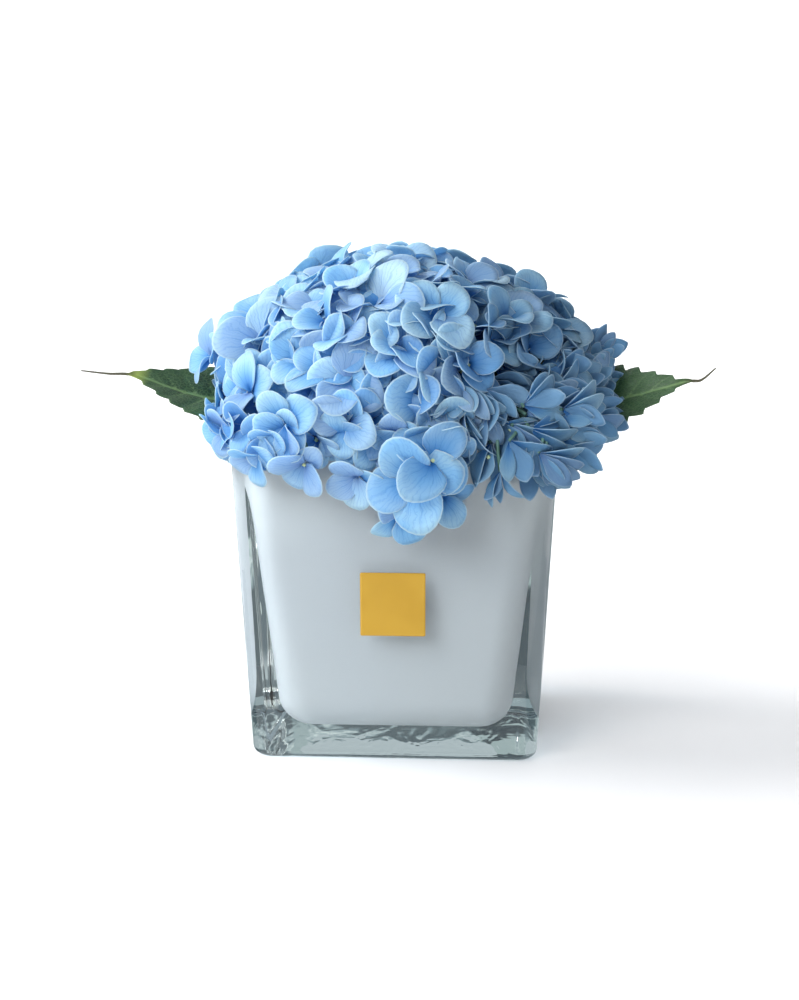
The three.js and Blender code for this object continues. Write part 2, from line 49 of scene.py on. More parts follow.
# The inside of the glass, drawn a little narrower than in the solids, because the thick glass shows it wider.
CAVITY = {
    "floor_z": 11.5,
    "floor_half": 49.0,
    "rim_half": 62.2,
    "corner": 11,
    "floor_corner": 14,
    "floor_radius": 12,
}
# The coat lies a hair inside the glass that it sticks to.
LINING = {"thickness": 1.4, "below_rim": 1.0, "sunk": 0.04}
# The rings of the hollow under the foot: how far in from the foot's edge and how high each one is.
FOOT_HOLLOW = [(24, 0.7), (9, 0.7), (7.5, 0.42), (6.5, 0.12), (5.5, 0)]
FOAM = {"clearance": 0.4, "below_rim": 8, "above_floor": 1}
LABEL = {"size": 27, "thickness": 0.45, "centre_z": 68.5, "bevel": 0.12, "off_glass": 0.02}

DOME = {"centre": (1, 0, 154), "radii": (84, 81, 54.5), "seed": 7}
HEADS = {
    name: dict(zip(("heart", "core", "reach", "shift", "cup"), row))
    for name, row in {
        "front": ((4, -36, 158), (38, 34, 34), 40, (0, 0, 0), (4, 24)),
        "left": ((-44, -16, 142), (32, 46, 46), 46, (5, 0, 0), (2, 20)),
        "right": ((50, -12, 146), (34, 48, 42), 51, (3, 0, -4), (12, 40)),
        "back": ((0, 38, 150), (52, 34, 40), 44, (0, 0, 0), (4, 28)),
        "crown": ((-2, 2, 168), (38, 34, 30), 38, (0, 0, 0), (2, 24)),
    }.items()
}
# How near the plane between two heads a core starts to bend back, and how near it may come.
BEND = {"from": 7, "to": 0.6}
FLORET = {
    "spacing": 26,
    "crowding": 0.62,
    "radius": 19.5,
    "spread": 1.8,
    "outward": 0.5,
    "tilt": 0.34,
    "jitter": 2,
    "sunk": 0.7,
    "root_depth": 4,
    "vase_clearance": 1.0,
    "centre_clearance": 5,
}
SKIRT = {"above": 6, "lowest_side": 129, "lowest_front": 122, "front_half": 45}
STALK = {"radius": 0.75, "root_above": 12, "rise": 5, "over_rim": 3, "clearance": 3.5, "behind": 1.5}
# Florets that stand out of the dome or hang below the rim: centre, facing, turn, radius and cup.
# The first is the solids' one large floret, which keeps others away but is shown as a pair.
STRAYS = [
    ((8, -85, 135), (0.05, -1, 0.1), 40, 23, 4),
    ((3, -75, 108), (0.1, -1, -0.3), 45, 14, 2),
    ((20, -77, 117), (0.3, -1, -0.5), 20, 17, 12),
    ((-13, -78, 124), (-0.2, -1, -0.2), 10, 18, 8),
    ((-17, -80, 145), (-0.2, -1, 0.1), 70, 19, 16),
    ((29, -79, 139), (0.3, -1, -0.1), 0, 18, 30),
    ((-34, -77, 129), (-0.2, -1, -0.3), 50, 19, 8),
    ((-41, -79, 145), (-0.4, -1, 0), 30, 19.5, 8),
    ((-54, -74, 131), (-0.4, -1, -0.3), 15, 17, 10),
    ((-68, -58, 140), (-1, -1, -0.3), 0, 17, 14),
    ((-83, -8, 167), (-1, -0.5, 0.3), 20, 18, 18),
    ((42, -77, 122), (0.3, -1, -0.6), 5, 17, 48),
    ((51, -76, 143), (0.4, -1, 0), 45, 18, 34),
    ((66, -69, 143), (0.7, -1, 0), 15, 19, 20),
    ((61, -73, 128), (0.4, -1, -0.4), 35, 17, 38),
    ((72, -60, 138), (1, -0.8, -0.4), 60, 17, 28),
    ((83, -34, 144), (1, -0.4, -0.2), 30, 17, 30),
    ((87, -4, 168), (1, -0.3, 0.4), 10, 17, 26),
    ((-75, -24, 133), (-1, -0.1, -0.2), 30, 18, 4),
    ((-76, 22, 129), (-1, 0.1, -0.2), 10, 18, 6),
    ((78, 24, 133), (1, 0.1, -0.2), 25, 18, 10),
    ((-64, 62, 143), (-1, 1, 0), 40, 19, 10),
    ((67, 61, 143), (1, 1, 0), 5, 19, 14),
]
LEAVES = {
    "left": {
        "petiole": [(-42, 14, 112), (-43, 14, 130), (-47, 13, 139), (-56, 11.5, 143)],
        "rib": [
            (-52, 12, 142.5),
            (-70, 6, 144),
            (-97, 0, 150),
            (-121, -4, 158.5),
            (-131, -4.5, 159),
            (-143, -6, 160.5),
        ],
        "share": 0.78,
        "half_width": 21,
        "widest_by": 0.72,
        "roll": (6, 42),
        "upper_teeth": 0.25,
        "tooth": 1.4,
        "yellow": 0.85,
        "drawn_out": 0.1,
    },
    "right": {
        "petiole": [(42, 14, 112), (43, 14, 130), (48, 13, 139), (58, 11, 143)],
        "rib": [
            (54, 12, 142.5),
            (76, 6, 143),
            (104, -3, 150),
            (127, -10, 157),
            (131, -11, 157.5),
            (137, -13, 163),
        ],
        "share": 0.87,
        "half_width": 24,
        "widest_by": 0.88,
        "roll": (6, 50),
        "upper_teeth": 0.8,
        "tooth": 2.4,
        "yellow": 0.05,
        "drawn_out": 0.5,
    },
}
LEAF = {
    "thickness": 0.5,
    "teeth": 11,
    "steps_per_tooth": 8,
    "tail_steps": 16,
    "half_columns": 9,
    "fold": 10,
    "rolled_by": 0.45,
    "clearing": 14,
    "veins": 8,
}
PETIOLE_RADIUS = 1.5

# ---------- looks only ----------

CAMERA = {"azimuth": 3, "elevation": 9, "distance": 650, "target": (-0.6, 0, 102), "focal_px": 1435}
FRAME_PX = (799, 1000)
SENSOR_MM = 36
# Florets placed one by one at the corners, where the rows and layers leave gaps: centre and facing.
CORNERS = [
    ((-58, -58, 155), (-1, -1, 0.8)),
    ((-64, -46, 152), (-1, -0.6, 0.5)),
    ((58, -58, 154), (1, -1, 0.9)),
    ((64, -46, 150), (1, -0.6, 0.5)),
    ((-58, 56, 156), (-1, 1, 0.8)),
    ((60, 56, 156), (1, 1, 0.8)),
]
# A corner floret's depth paints its petals a little darker: painted shade.
CORNER_FLORET = {"radius": 16, "cup": (12, 24), "depth": 0.8}
# How large the shown florets are against those of the solids, which have no layers under them.
SLIMMER = {"all": 0.9, "stray": 0.92, "low_stray": 0.84, "left_cluster": 0.82}
STRAY_CUP = 6
# The two large florets low in front.
OPEN_PAIR = [
    ((17, -87, 131.5), (0.05, -1, 0.15), -28, 18, 6),
    ((10, -84, 124), (-0.1, -1, -0.1), 20, 20, 6),
]
PETAL = {"columns": 14, "rows": 5, "thickness": 0.36, "forms": 6, "seed": 5}
EYE = {"radius": 0.95, "above": 1.3, "on_every": 3}
# Layers of florets under the dome's outer ones, which close it: none of them stands out of it.
# Their shade lowers their petals' tone: painted shade under the outer florets.
LAYERS = [
    {"seed": 31, "spacing": 16.5, "depth": 5.5, "radius": 15, "tilt": 0.42, "cup": (8, 42), "shade": 0.6},
    {"seed": 47, "spacing": 18, "depth": 11, "radius": 15, "tilt": 0.3, "cup": (16, 50), "shade": 0.3},
]
# A row over the rim, and more that hang on the right front.
RIM_ROW = {
    "seed": 12,
    "spacing": 10.5,
    "out": 9.5,
    "side_inset": 8,
    "corner_reach": 88,
    "radius": 13,
    "z": (135, 146),
    "cup": (14, 42),
    # The depth paints the row's petals darker: painted shade.
    "depth": 0.7,
}
HANGING = {"seed": 3, "count": 30, "x": (16, 74), "y": (-68, -80), "z": (130, 158), "radius": 15.5}

# Lamps and their places are in metres, and their power is in watts.
LAMPS = {
    "front_lamp": {"at": (-0.9, -1.3, 1.0), "aim": (0, 0, 0.12), "size": 1.2, "power": 21},
    "backdrop_lamp": {"at": (0, 1.1, 1.6), "aim": (0, 2.4, 0.5), "size": 1.6, "power": 26},
}
SUN = {"way": (1.0, -0.12, -0.78), "strength": 2.6, "spread": 34}
ROOM = {"tint": "f6f9ff", "strength": 0.52, "extra_where_seen": 0.6}
# Painted reflections, which the glass shows at its walls and over its foot: colour codes with the height at
# which each starts.
WALL_TONES = [("3a484f", 0), ("2f3d44", 40), ("5d6c72", 78), ("8b9a9e", 98)]
GAP_TONES = [("3a484f", 0), ("2f3d44", 34), ("a6b5b6", 47), ("5d6c72", 68), ("8b9a9e", 98)]
CORNER_TONES = [("75858a", 0), ("9fafb1", 42), ("b7c3c2", 80)]
BASE_TONES = [("c3d0d4", 0), ("f0f6f7", -1), ("cfdadd", 4)]
FOOT_TONES = [
    ("4a585e", 0),
    ("7d8e94", 45),
    ("d3dedf", 50),
    ("84959b", 53),
    ("dfe9e9", 57),
    ("b0bec0", 61),
    ("c9d5d5", 65),
    ("55646a", 72),
]
# Upright cards: the two ends of the foot, the lowest and highest z, and the tones.
UPRIGHT_CARDS = {
    "left_card": ((-620, 160), (-620, 620), (0, 700), [("dbe9ee", 0)]),
    "right_card": ((560, 420), (560, -120), (0, 700), [("dbe3df", 0)]),
    "back_left_card": ((-220, 165), (-58, 165), (0, 320), CORNER_TONES),
    "back_mid_card": ((-58, 165), (37, 165), (0, 320), FOOT_TONES),
    "back_dark_card": ((37, 165), (57, 165), (0, 320), GAP_TONES),
    "back_right_card": ((57, 165), (300, 165), (0, 320), CORNER_TONES),
}
# Cards that lie on the floor: two opposite corners, the height and the tones.
FLOOR_CARDS = {
    "far_floor_card": ((-220, 88), (300, 165), 0.6, WALL_TONES),
    "near_floor_card": ((-90, 62), (90, 88), 0.6, [("87979d", 0)]),
    "left_floor_card": ((-320, -60), (-59, 62), 0.6, [("55646a", 0)]),
    "right_floor_card": ((90, -150), (340, 40), 0.6, [("4f5f66", 0)]),
    "foot_card": ((-52, -52), (52, 52), 0.3, BASE_TONES),
}
# A small bright card that paints a glint on the glass.
GLINT = {"ends": ((720, -260), (700, -320)), "z": (150, 520), "tone": "f4fbff", "strength": 9.0}


# ---------- small helpers ----------


def colour(hex_code):
    """A shader colour from the hex code that a screen would show."""
    parts = [int(hex_code[i : i + 2], 16) / 255 for i in (0, 2, 4)]
    return (*[c / 12.92 if c <= 0.04045 else ((c + 0.055) / 1.055) ** 2.4 for c in parts], 1.0)


def mix(a, b, t):
    return a + (b - a) * t


def ramp(value, start, end):
    """From 0 at the start to 1 at the end, and no further."""
    return min(max((value - start) / (end - start), 0), 1)


def unit(v):
    v = np.asarray(v, float)
    return v / np.linalg.norm(v)


def seeded_random(seed):
    """The same run of numbers from 0 to 1 as the solids' florets are placed by."""
    state = seed
    whole = 0xFFFFFFFF

    def draw():
        nonlocal state
        state = (state + 0x6D2B79F5) & whole
        t = ((state ^ (state >> 15)) * (1 | state)) & whole
        t = ((t + (t ^ (t >> 7)) * (61 | t)) & whole) ^ t
        return ((t ^ (t >> 14)) & whole) / 2**32

    return draw


def new_mesh(name, points, faces, edges=()):
    """A smooth mesh from points in its own unit."""
    mesh = bpy.data.meshes.new(name)
    mesh.from_pydata(points, edges, faces)
    mesh.update()
    mesh.shade_smooth()
    return mesh


def in_scene(name, data):
    obj = bpy.data.objects.new(name, data)
    bpy.context.scene.collection.objects.link(obj)
    return obj


def mesh_object(name, points, faces, edges=()):
    """An object in the scene from points in millimetres."""
    return in_scene(name, new_mesh(name, [[c * MM for c in p] for p in points], faces, edges))


def plain_mesh(obj):
    """Turns an object with its modifiers into a plain mesh."""
    graph = bpy.context.evaluated_depsgraph_get()
    made = bpy.data.meshes.new_from_object(
        obj.evaluated_get(graph), preserve_all_data_layers=True, depsgraph=graph
    )
    obj.modifiers.clear()
    obj.data = made
    made.name = obj.name
    return obj


def points_of(obj):
    co = np.zeros(len(obj.data.vertices) * 3)
    obj.data.vertices.foreach_get("co", co)
    return co.reshape(-1, 3) / MM


def set_points(obj, points):
    obj.data.vertices.foreach_set("co", (points * MM).ravel())
    obj.data.update()


def set_attribute(mesh, name, kind, values):
    """A named value on each vertex of a mesh."""
    layer = mesh.attributes.new(name, kind, "POINT")
    field = "vector" if kind == "FLOAT_VECTOR" else "value"
    layer.data.foreach_set(field, np.asarray(values).ravel())


def set_uv(mesh, by_vertex):
    """Gives each corner the pair of numbers of its vertex."""
    layer = mesh.uv_layers.new(name="pattern")
    corners = np.zeros(len(mesh.loops), int)
    mesh.loops.foreach_get("vertex_index", corners)
    layer.data.foreach_set("uv", np.asarray(by_vertex)[corners].ravel())


def finish_piece(obj, material, node):
    """Gives a piece its material and its place in the frame, in the stead of a node."""
    obj.data.materials.clear()
    obj.data.materials.append(material)
    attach(obj, "root")
    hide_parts(node)


def smooth_path(points, count):
    """Even steps along a centripetal Catmull-Rom line through the points."""
    p = [np.asarray(q, float) for q in points]
    p = [2 * p[0] - p[1], *p, 2 * p[-1] - p[-2]]
    fine = []
    for line in zip(p, p[1:], p[2:], p[3:]):
        chords = [np.linalg.norm(b - a) ** 0.5 for a, b in zip(line, line[1:])]
        k = np.cumsum([0, *chords])
        for t in np.linspace(k[1], k[2], 24, endpoint=False):
            level = line
            for span in (1, 2):
                level = [
                    ((k[i + span] - t) * level[i] + (t - k[i]) * level[i + 1]) / (k[i + span] - k[i])
                    for i in range(len(level) - 1)
                ]
            fine.append(((k[2] - t) * level[0] + (t - k[1]) * level[1]) / (k[2] - k[1]))
    fine.append(p[-2])
    fine = np.array(fine)
    along = np.concatenate([[0], np.cumsum(np.linalg.norm(np.diff(fine, axis=0), axis=1))])
    at = np.linspace(0, along[-1], count)
    return np.stack([np.interp(at, along, fine[:, i]) for i in range(3)], axis=1)


# ---------- node trees ----------


GEOMETRY, NUMBER, COLOUR = "NodeSocketGeometry", "NodeSocketFloat", "NodeSocketColor"


class Nodes:
    """Adds nodes to a tree and links their sockets."""

    def __init__(self, tree):
        self.tree = tree

    def fill(self, node, inputs):
        """Links an input of a node where it is given a socket, and sets it where it is given a value."""
        for key, value in inputs.items():
            if isinstance(value, bpy.types.NodeSocket):
                self.tree.links.new(value, node.inputs[key])
            else:
                node.inputs[key].default_value = value
        return node

    def put(self, kind, inputs=None, **settings):
        node = self.tree.nodes.new(kind)
        for name, value in settings.items():
            setattr(node, name, value)
        return self.fill(node, inputs or {})

    def math(self, operation, *values):
        return self.put("ShaderNodeMath", dict(enumerate(values)), operation=operation).outputs[0]

    def times(self, first, second):
        return self.math("MULTIPLY", first, second)

    def wave(self, value):
        """Ridges that meet in sharp grooves."""
        return self.math("ABSOLUTE", self.math("SINE", value))

    def step(self, value, low, high, to_low=0.0, to_high=1.0):
        """A smooth step of a value between two bounds."""
        inputs = {"Value": value, "From Min": low, "From Max": high, "To Min": to_low, "To Max": to_high}
        return self.put("ShaderNodeMapRange", inputs, interpolation_type="SMOOTHSTEP").outputs[0]

    def mix(self, share, first, second, blend="MIX"):
        inputs = {0: share, 6: first, 7: second}
        return self.put("ShaderNodeMix", inputs, data_type="RGBA", blend_type=blend).outputs[2]

    def noise(self, vector, scale, detail=2.0, roughness=0.5, distortion=0.0):
        inputs = {"Vector": vector, "Scale": scale, "Detail": detail}
        inputs |= {"Roughness": roughness, "Distortion": distortion}
        return self.put("ShaderNodeTexNoise", inputs).outputs["Fac"]

    def attribute(self, name):
        return self.put("ShaderNodeAttribute", attribute_name=name).outputs["Fac"]

    def place(self):
        return self.put("ShaderNodeTexCoord").outputs["Object"]

    def parts(self, vector):
        return self.put("ShaderNodeSeparateXYZ", {0: vector}).outputs

    def stretched(self, vector, scale):
        return self.put("ShaderNodeMapping", {0: vector, "Scale": scale}).outputs[0]

    def bump(self, height, strength, distance):
        inputs = {"Height": height, "Strength": strength, "Distance": distance}
        return self.put("ShaderNodeBump", inputs).outputs[0]

    def ray(self, name):
        return self.put("ShaderNodeLightPath").outputs[name]

    def shared(self, share, first, second):
        """Two shaders in one."""
        return self.put("ShaderNodeMixShader", {0: share, 1: first, 2: second}).outputs[0]


def new_group(name, kind, inputs, outputs):
    """An empty group of nodes with named sockets, and what its body needs."""
    tree = bpy.data.node_groups.new(name, kind)
    for label, socket_kind, *value in inputs:
        socket = tree.interface.new_socket(label, in_out="INPUT", socket_type=socket_kind)
        if value:
            socket.default_value = value[0]
    for label, socket_kind in outputs:
        tree.interface.new_socket(label, in_out="OUTPUT", socket_type=socket_kind)
    nodes = Nodes(tree)
    return tree, nodes, nodes.put("NodeGroupInput").outputs, nodes.put("NodeGroupOutput")


def new_material(name):
    """A material with its nodes, its Principled shader and its output."""
    material = bpy.data.materials.new(name)
    material.use_nodes = True
    tree = material.node_tree
    return material, Nodes(tree), tree.nodes["Principled BSDF"], tree.nodes["Material Output"]


def mottle_group():
    """Soft blotches of two shades over a surface, with a fine grain for its relief."""
    inputs = [("Light", COLOUR), ("Dark", COLOUR)]
    inputs += [("Blotch scale", NUMBER, 60.0), ("Grain scale", NUMBER, 900.0)]
    outputs = [("Color", COLOUR), ("Height", NUMBER)]
    tree, n, given, out = new_group("mottle", "ShaderNodeTree", inputs, outputs)
    place = n.place()
    blotch = n.step(n.noise(place, given["Blotch scale"], 3.0), 0.35, 0.65)
    grain = n.noise(place, given["Grain scale"], 3.0, 0.6)
    shade = n.math("MULTIPLY_ADD", grain, 0.3, n.times(blotch, 0.7))
    colours = n.mix(shade, given["Dark"], given["Light"])
    n.fill(out, {"Color": colours, "Height": n.math("MULTIPLY_ADD", blotch, 0.4, grain)})
    return tree


def petal_group():
    """The colours of a petal: veins that fan out of its base, a painted highlight along its margin and a
    paler underside.
    """
    names = ("Heart", "Face", "Outer", "Margin", "Under", "Lilac", "Muted")
    inputs = [*((name, COLOUR) for name in names), ("Vein depth", NUMBER, 0.35)]
    outputs = [("Color", COLOUR), ("Height", NUMBER)]
    tree, n, given, out = new_group("petal_pattern", "ShaderNodeTree", inputs, outputs)
    over, reach, _ = n.parts(n.put("ShaderNodeUVMap", uv_map="pattern").outputs[0])
    place = n.place()
    tone = n.attribute("tone")
    muted = n.attribute("muted")
    blotch = n.noise(place, 45.0, 2.0)
    fine = n.noise(place, 380.0, 3.0, 0.6)

    # Veins: lines of equal angle round the base, bent a little, that fork half way out.
    across = n.math("MULTIPLY_ADD", over, 2.0, -1.0)
    bent = n.math("MULTIPLY_ADD", fine, 0.1, n.math("MULTIPLY_ADD", n.noise(place, 110.0, 2.0), 0.5, across))
    main = n.step(n.wave(n.times(bent, 9.3)), 0.0, 0.3, 1.0, 0.0)
    fork = n.step(n.wave(n.math("MULTIPLY_ADD", bent, 26.0, n.times(fine, 2.6))), 0.0, 0.5, 1.0, 0.0)
    near_base = n.step(reach, 0.4, 0.98, 1.0, 0.2)
    far_out = n.step(reach, 0.2, 0.6, 0.1, 0.5)
    veins = n.math("MAXIMUM", n.times(main, near_base), n.times(fork, far_out))

    shade = n.mix(n.step(reach, 0.02, 0.62), given["Heart"], given["Face"])
    outward = n.times(n.step(reach, 0.4, 0.95), n.step(blotch, 0.38, 0.6, 0.2, 1.0))
    shade = n.mix(outward, shade, given["Outer"])
    lilac = n.times(n.step(tone, 0.5, 0.58), n.step(tone, 0.72, 0.8, 0.6, 0.0))
    shade = n.mix(lilac, shade, given["Lilac"])
    # A high tone paints a petal near white: some petals at random, and those of the crown as painted light.
    shade = n.mix(n.step(tone, 0.82, 0.95, 0.0, 0.7), shade, given["Margin"])
    # A low tone paints a petal a deeper blue: some petals at random, and as painted shade those of florets
    # that lie under, between or low in front of others.
    shade = n.mix(n.step(tone, 0.1, 0.42, 0.55, 0.0), shade, given["Heart"])
    shade = n.mix(n.times(veins, given["Vein depth"]), shade, given["Heart"])
    shade = n.mix(n.times(n.attribute("underside"), 0.6), shade, given["Under"])
    # The greyer petals on the right are painted darker too: partly their own duller colour, partly painted
    # shade.
    shade = n.mix(muted, shade, given["Muted"], "MULTIPLY")
    # A thin painted highlight along the margin, weaker on the greyer, shaded petals.
    side = n.step(n.math("ABSOLUTE", across), 0.92, 1.0)
    rim = n.math("MAXIMUM", n.step(reach, 0.95, 1.0), side)
    shade = n.mix(n.times(rim, n.step(muted, 0.0, 1.0, 0.85, 0.3)), shade, given["Margin"])
    n.fill(out, {"Color": shade, "Height": n.math("MULTIPLY_ADD", veins, -0.6, n.times(fine, 0.35))})
    return tree


def petal_material():
    """A petal, which light shines through."""
    material, n, shader, output = new_material("hydrangea_petal")
    looks = {
        "Heart": colour("3a8edc"),
        "Face": colour("8fcff9"),
        "Outer": colour("c0e9fb"),
        # Margin: the colour of the painted highlight along the margin and of the palest petals.
        "Margin": colour("dcf5fd"),
        "Under": colour("a4d4f3"),
        "Lilac": colour("b0cdf0"),
        "Muted": colour("b2bfca"),
        "Vein depth": 0.42,
    }
    pattern = n.put("ShaderNodeGroup", looks, node_tree=petal_group()).outputs
    relief = {"Normal": n.bump(pattern["Height"], 0.5, 0.0004)}
    n.fill(shader, {"Base Color": pattern["Color"], **relief, "Roughness": 0.52, "Specular IOR Level": 0.35})
    through = n.put("ShaderNodeBsdfTranslucent", {"Color": pattern["Color"], **relief})
    n.fill(output, {"Surface": n.shared(0.4, shader.outputs[0], through.outputs[0])})
    return material


def mottled_material(name, light, dark, roughness, blotches, grain, relief):
    material, n, shader, _ = new_material(name)
    looks = {"Light": colour(light), "Dark": colour(dark), "Blotch scale": blotches, "Grain scale": grain}
    pattern = n.put("ShaderNodeGroup", looks, node_tree=MOTTLE).outputs
    normal = n.bump(pattern["Height"], 0.6, relief)
    n.fill(shader, {"Base Color": pattern["Color"], "Normal": normal, "Roughness": roughness})
    return material


def glass_material():
    """Clear glass that lets the lamps' light through to what it holds."""
    material, n, shader, output = new_material("clear_pressed_glass")
    place = n.place()
    ripple = n.noise(place, 38.0, 2.0, 0.5, 0.4)
    under = n.step(n.parts(place)[2], 0.001, 0.003, 5.0, 0.0)
    wide = n.stretched(place, (1.0, 0.3, 1.0))
    pressed = n.times(n.noise(wide, 60.0, 2.5, 0.5, 0.8), under)
    n.fill(
        shader,
        {
            "Normal": n.bump(n.math("ADD", ripple, pressed), 0.12, 0.002),
            "Base Color": colour("e9f2f1"),
            "Roughness": 0.0,
            "IOR": 1.5,
            "Transmission Weight": 1.0,
        },
    )
    clear = n.put("ShaderNodeBsdfTransparent", {"Color": colour("cdd6dc")})
    n.fill(output, {"Surface": n.shared(n.ray("Is Shadow Ray"), shader.outputs[0], clear.outputs[0])})
    return material


def lining_material():
    """A white coat, painted lighter towards its top where the petals shade it. Seen after a bounce inside the
    glass, it glows in a painted reflection of dark tones, paler near the foot.
    """
    material, n, shader, output = new_material("white_coat")
    place = n.place()
    height = n.parts(place)[2]
    shade = n.mix(n.step(n.noise(place, 9.0, 2.0), 0.3, 0.7), colour("c6c9cf"), colour("cbcdd1"))
    # Painted light: the top of the coat is lighter, to lift the shadow that the petals cast on it.
    shade = n.mix(n.step(height, 0.085, 0.132), shade, colour("e4e7eb"))
    n.fill(shader, {"Base Color": shade, "Roughness": 0.35})
    # Painted reflection: seen after a bounce inside the glass, the coat glows in dark tones, paler near the
    # foot.
    tone = n.mix(n.step(height, 0.014, 0.03), colour("aebbbf"), colour("5f6e75"))
    painted_reflection = n.put("ShaderNodeEmission", {0: tone})
    sharp = n.math("SUBTRACT", 1.0, n.step(n.ray("Diffuse Depth"), 0.4, 0.6))
    seen_twice = n.times(n.step(n.ray("Ray Depth"), 1.4, 1.6), sharp)
    n.fill(output, {"Surface": n.shared(seen_twice, shader.outputs[0], painted_reflection.outputs[0])})
    return material


def label_material():
    material, n, shader, _ = new_material("gold_label")
    place = n.place()
    face = n.mix(n.step(n.noise(place, 60.0, 2.0), 0.3, 0.7), colour("b88e18"), colour("be9420"))
    fibre = n.bump(n.noise(place, 700.0, 3.0, 0.6), 0.15, 0.0001)
    n.fill(shader, {"Base Color": face, "Normal": fibre, "Roughness": 0.38})
    return material


def leaf_material():
    """Deep green between a net of paler veins, yellower towards the tip, with a dried brown tail."""
    material, n, shader, _ = new_material("hydrangea_leaf")
    uv = n.put("ShaderNodeUVMap", uv_map="pattern").outputs[0]
    place = n.place()
    cells = {"Vector": n.stretched(uv, (40.0, 22.0, 1.0)), "Scale": 1.0}
    cell_edge = n.put("ShaderNodeTexVoronoi", cells, feature="DISTANCE_TO_EDGE").outputs["Distance"]
    net = n.step(cell_edge, 0.0, 0.16, 1.0, 0.0)
    shade = n.mix(n.step(n.noise(place, 55.0, 3.0), 0.3, 0.7), colour("1f3b22"), colour("365a35"))
    shade = n.mix(n.times(net, 0.34), shade, colour("5f8252"))
    shade = n.mix(n.times(n.step(n.attribute("vein"), 0.3, 0.95), 0.6), shade, colour("84a66c"))
    shade = n.mix(n.attribute("yellow"), shade, colour("a3b558"))
    shade = n.mix(n.attribute("dried"), shade, colour("4c4a34"))
    relief = n.bump(n.math("MULTIPLY_ADD", net, -0.5, n.noise(place, 420.0, 3.0)), 0.5, 0.0004)
    n.fill(shader, {"Base Color": shade, "Normal": relief, "Roughness": 0.45})
    return material


# ---------- where the florets sit, as in the solids ----------


def vase_half(z):
    return mix(VASE["foot_half"], VASE["rim_half"], z / VASE["height"])


def vase_distance(p):
    """Distance of points from the vase, taken as solid up to its rim: negative inside."""
    p = np.atleast_2d(p)
    half = vase_half(np.clip(p[:, 2], 0, VASE["height"])) - VASE["corner"]
    x, y = np.abs(p[:, 0]) - half, np.abs(p[:, 1]) - half
    across = np.hypot(np.maximum(x, 0), np.maximum(y, 0)) + np.minimum(np.maximum(x, y), 0) - VASE["corner"]
    above = p[:, 2] - VASE["height"]
    return np.hypot(np.maximum(across, 0), np.maximum(above, 0)) + np.minimum(np.maximum(across, above), 0)


def clear_of_vase(p, clearance):
    """Moves points straight out of the vase until they have their clearance."""
    p = np.atleast_2d(np.asarray(p, float)).copy()
    for _ in range(3):
        short = clearance - vase_distance(p)
        near = short > 0
        if not near.any():
            break
        some = p[near]
        steps = 0.05 * np.eye(3)
        slope = np.stack([vase_distance(some + step) - vase_distance(some - step) for step in steps], axis=1)
        slope /= np.maximum(np.linalg.norm(slope, axis=1, keepdims=True), 1e-9)
        p[near] = some + slope * short[near, None]
    return p


def boundaries(name):
    """The planes between one head and the others: where two balls of their reaches would meet."""
    head = HEADS[name]
    planes = []
    for other in HEADS.values():
        if other is not head:
            heart = np.array(head["heart"], float)
            towards = np.array(other["heart"]) - heart
            apart = np.linalg.norm(towards)
            share = (apart**2 + head["reach"] ** 2 - other["reach"] ** 2) / (2 * apart)
            planes.append((towards / apart, heart @ towards / apart + share))
    return planes


def clear_of_heads(p, planes):
    """Bends points back to their own side of each boundary."""
    p = p.copy()
    room = BEND["from"] - BEND["to"]
    for normal, offset in planes:
        past = p @ normal - offset
        near = past > -BEND["from"]
        kept = -BEND["to"] - room * np.exp(-(past[near] + BEND["from"]) / room)
        p[near] += (kept - past[near])[:, None] * normal
    return p


def head_at(p):
    return next(name for name in HEADS if all(p @ normal < offset for normal, offset in boundaries(name)))


def floret_count(spacing):
    """How many florets cover the whole dome, packed like a honeycomb over an ellipsoid's surface."""
    a, b, c = DOME["radii"]
    power = 1.6
    area = 4 * math.pi * (((a * b) ** power + (a * c) ** power + (b * c) ** power) / 3) ** (1 / power)
    return round(area / (math.sqrt(3) / 2 * spacing**2))


def dome_ways(spacing):
    """Even turns of the golden angle over a ball."""
    golden = math.pi * (3 - math.sqrt(5))
    count = floret_count(spacing)
    for k in range(count):
        up = 1 - 2 * (k + 0.5) / count
        flat = math.sqrt(1 - up * up)
        yield np.array([flat * math.cos(k * golden), flat * math.sin(k * golden), up])


def clear_of_rim(at):
    if at[2] > VASE["height"] + SKIRT["above"]:
        return True
    in_front = at[1] < 0 and abs(at[0]) < SKIRT["front_half"]
    lowest = SKIRT["lowest_front"] if in_front else SKIRT["lowest_side"]
    return at[2] > lowest and vase_distance(at)[0] > FLORET["centre_clearance"]


def over_leaf(at):
    shown = [p for leaf in LEAVES.values() for p in leaf["rib"][2:]]
    return min(np.linalg.norm(np.array(p) - at) for p in shown) < LEAF["clearing"]


def new_floret(at, facing, turn, radius, cup, head=None, **more):
    """A floret's place. Its head is the one that it lies in, unless one is given."""
    at = np.array(at, float)
    place = {"head": head or head_at(at), "at": at, "facing": facing, "turn": turn}
    return {**place, "radius": radius, "cup": cup, **more}


def low_on_the_right(at):
    """From 0 to 1 over the part of the bunch where the florets hang and their petals are folded."""
    return ramp(at[0], 14, 34) * ramp(at[2], 178, 156)


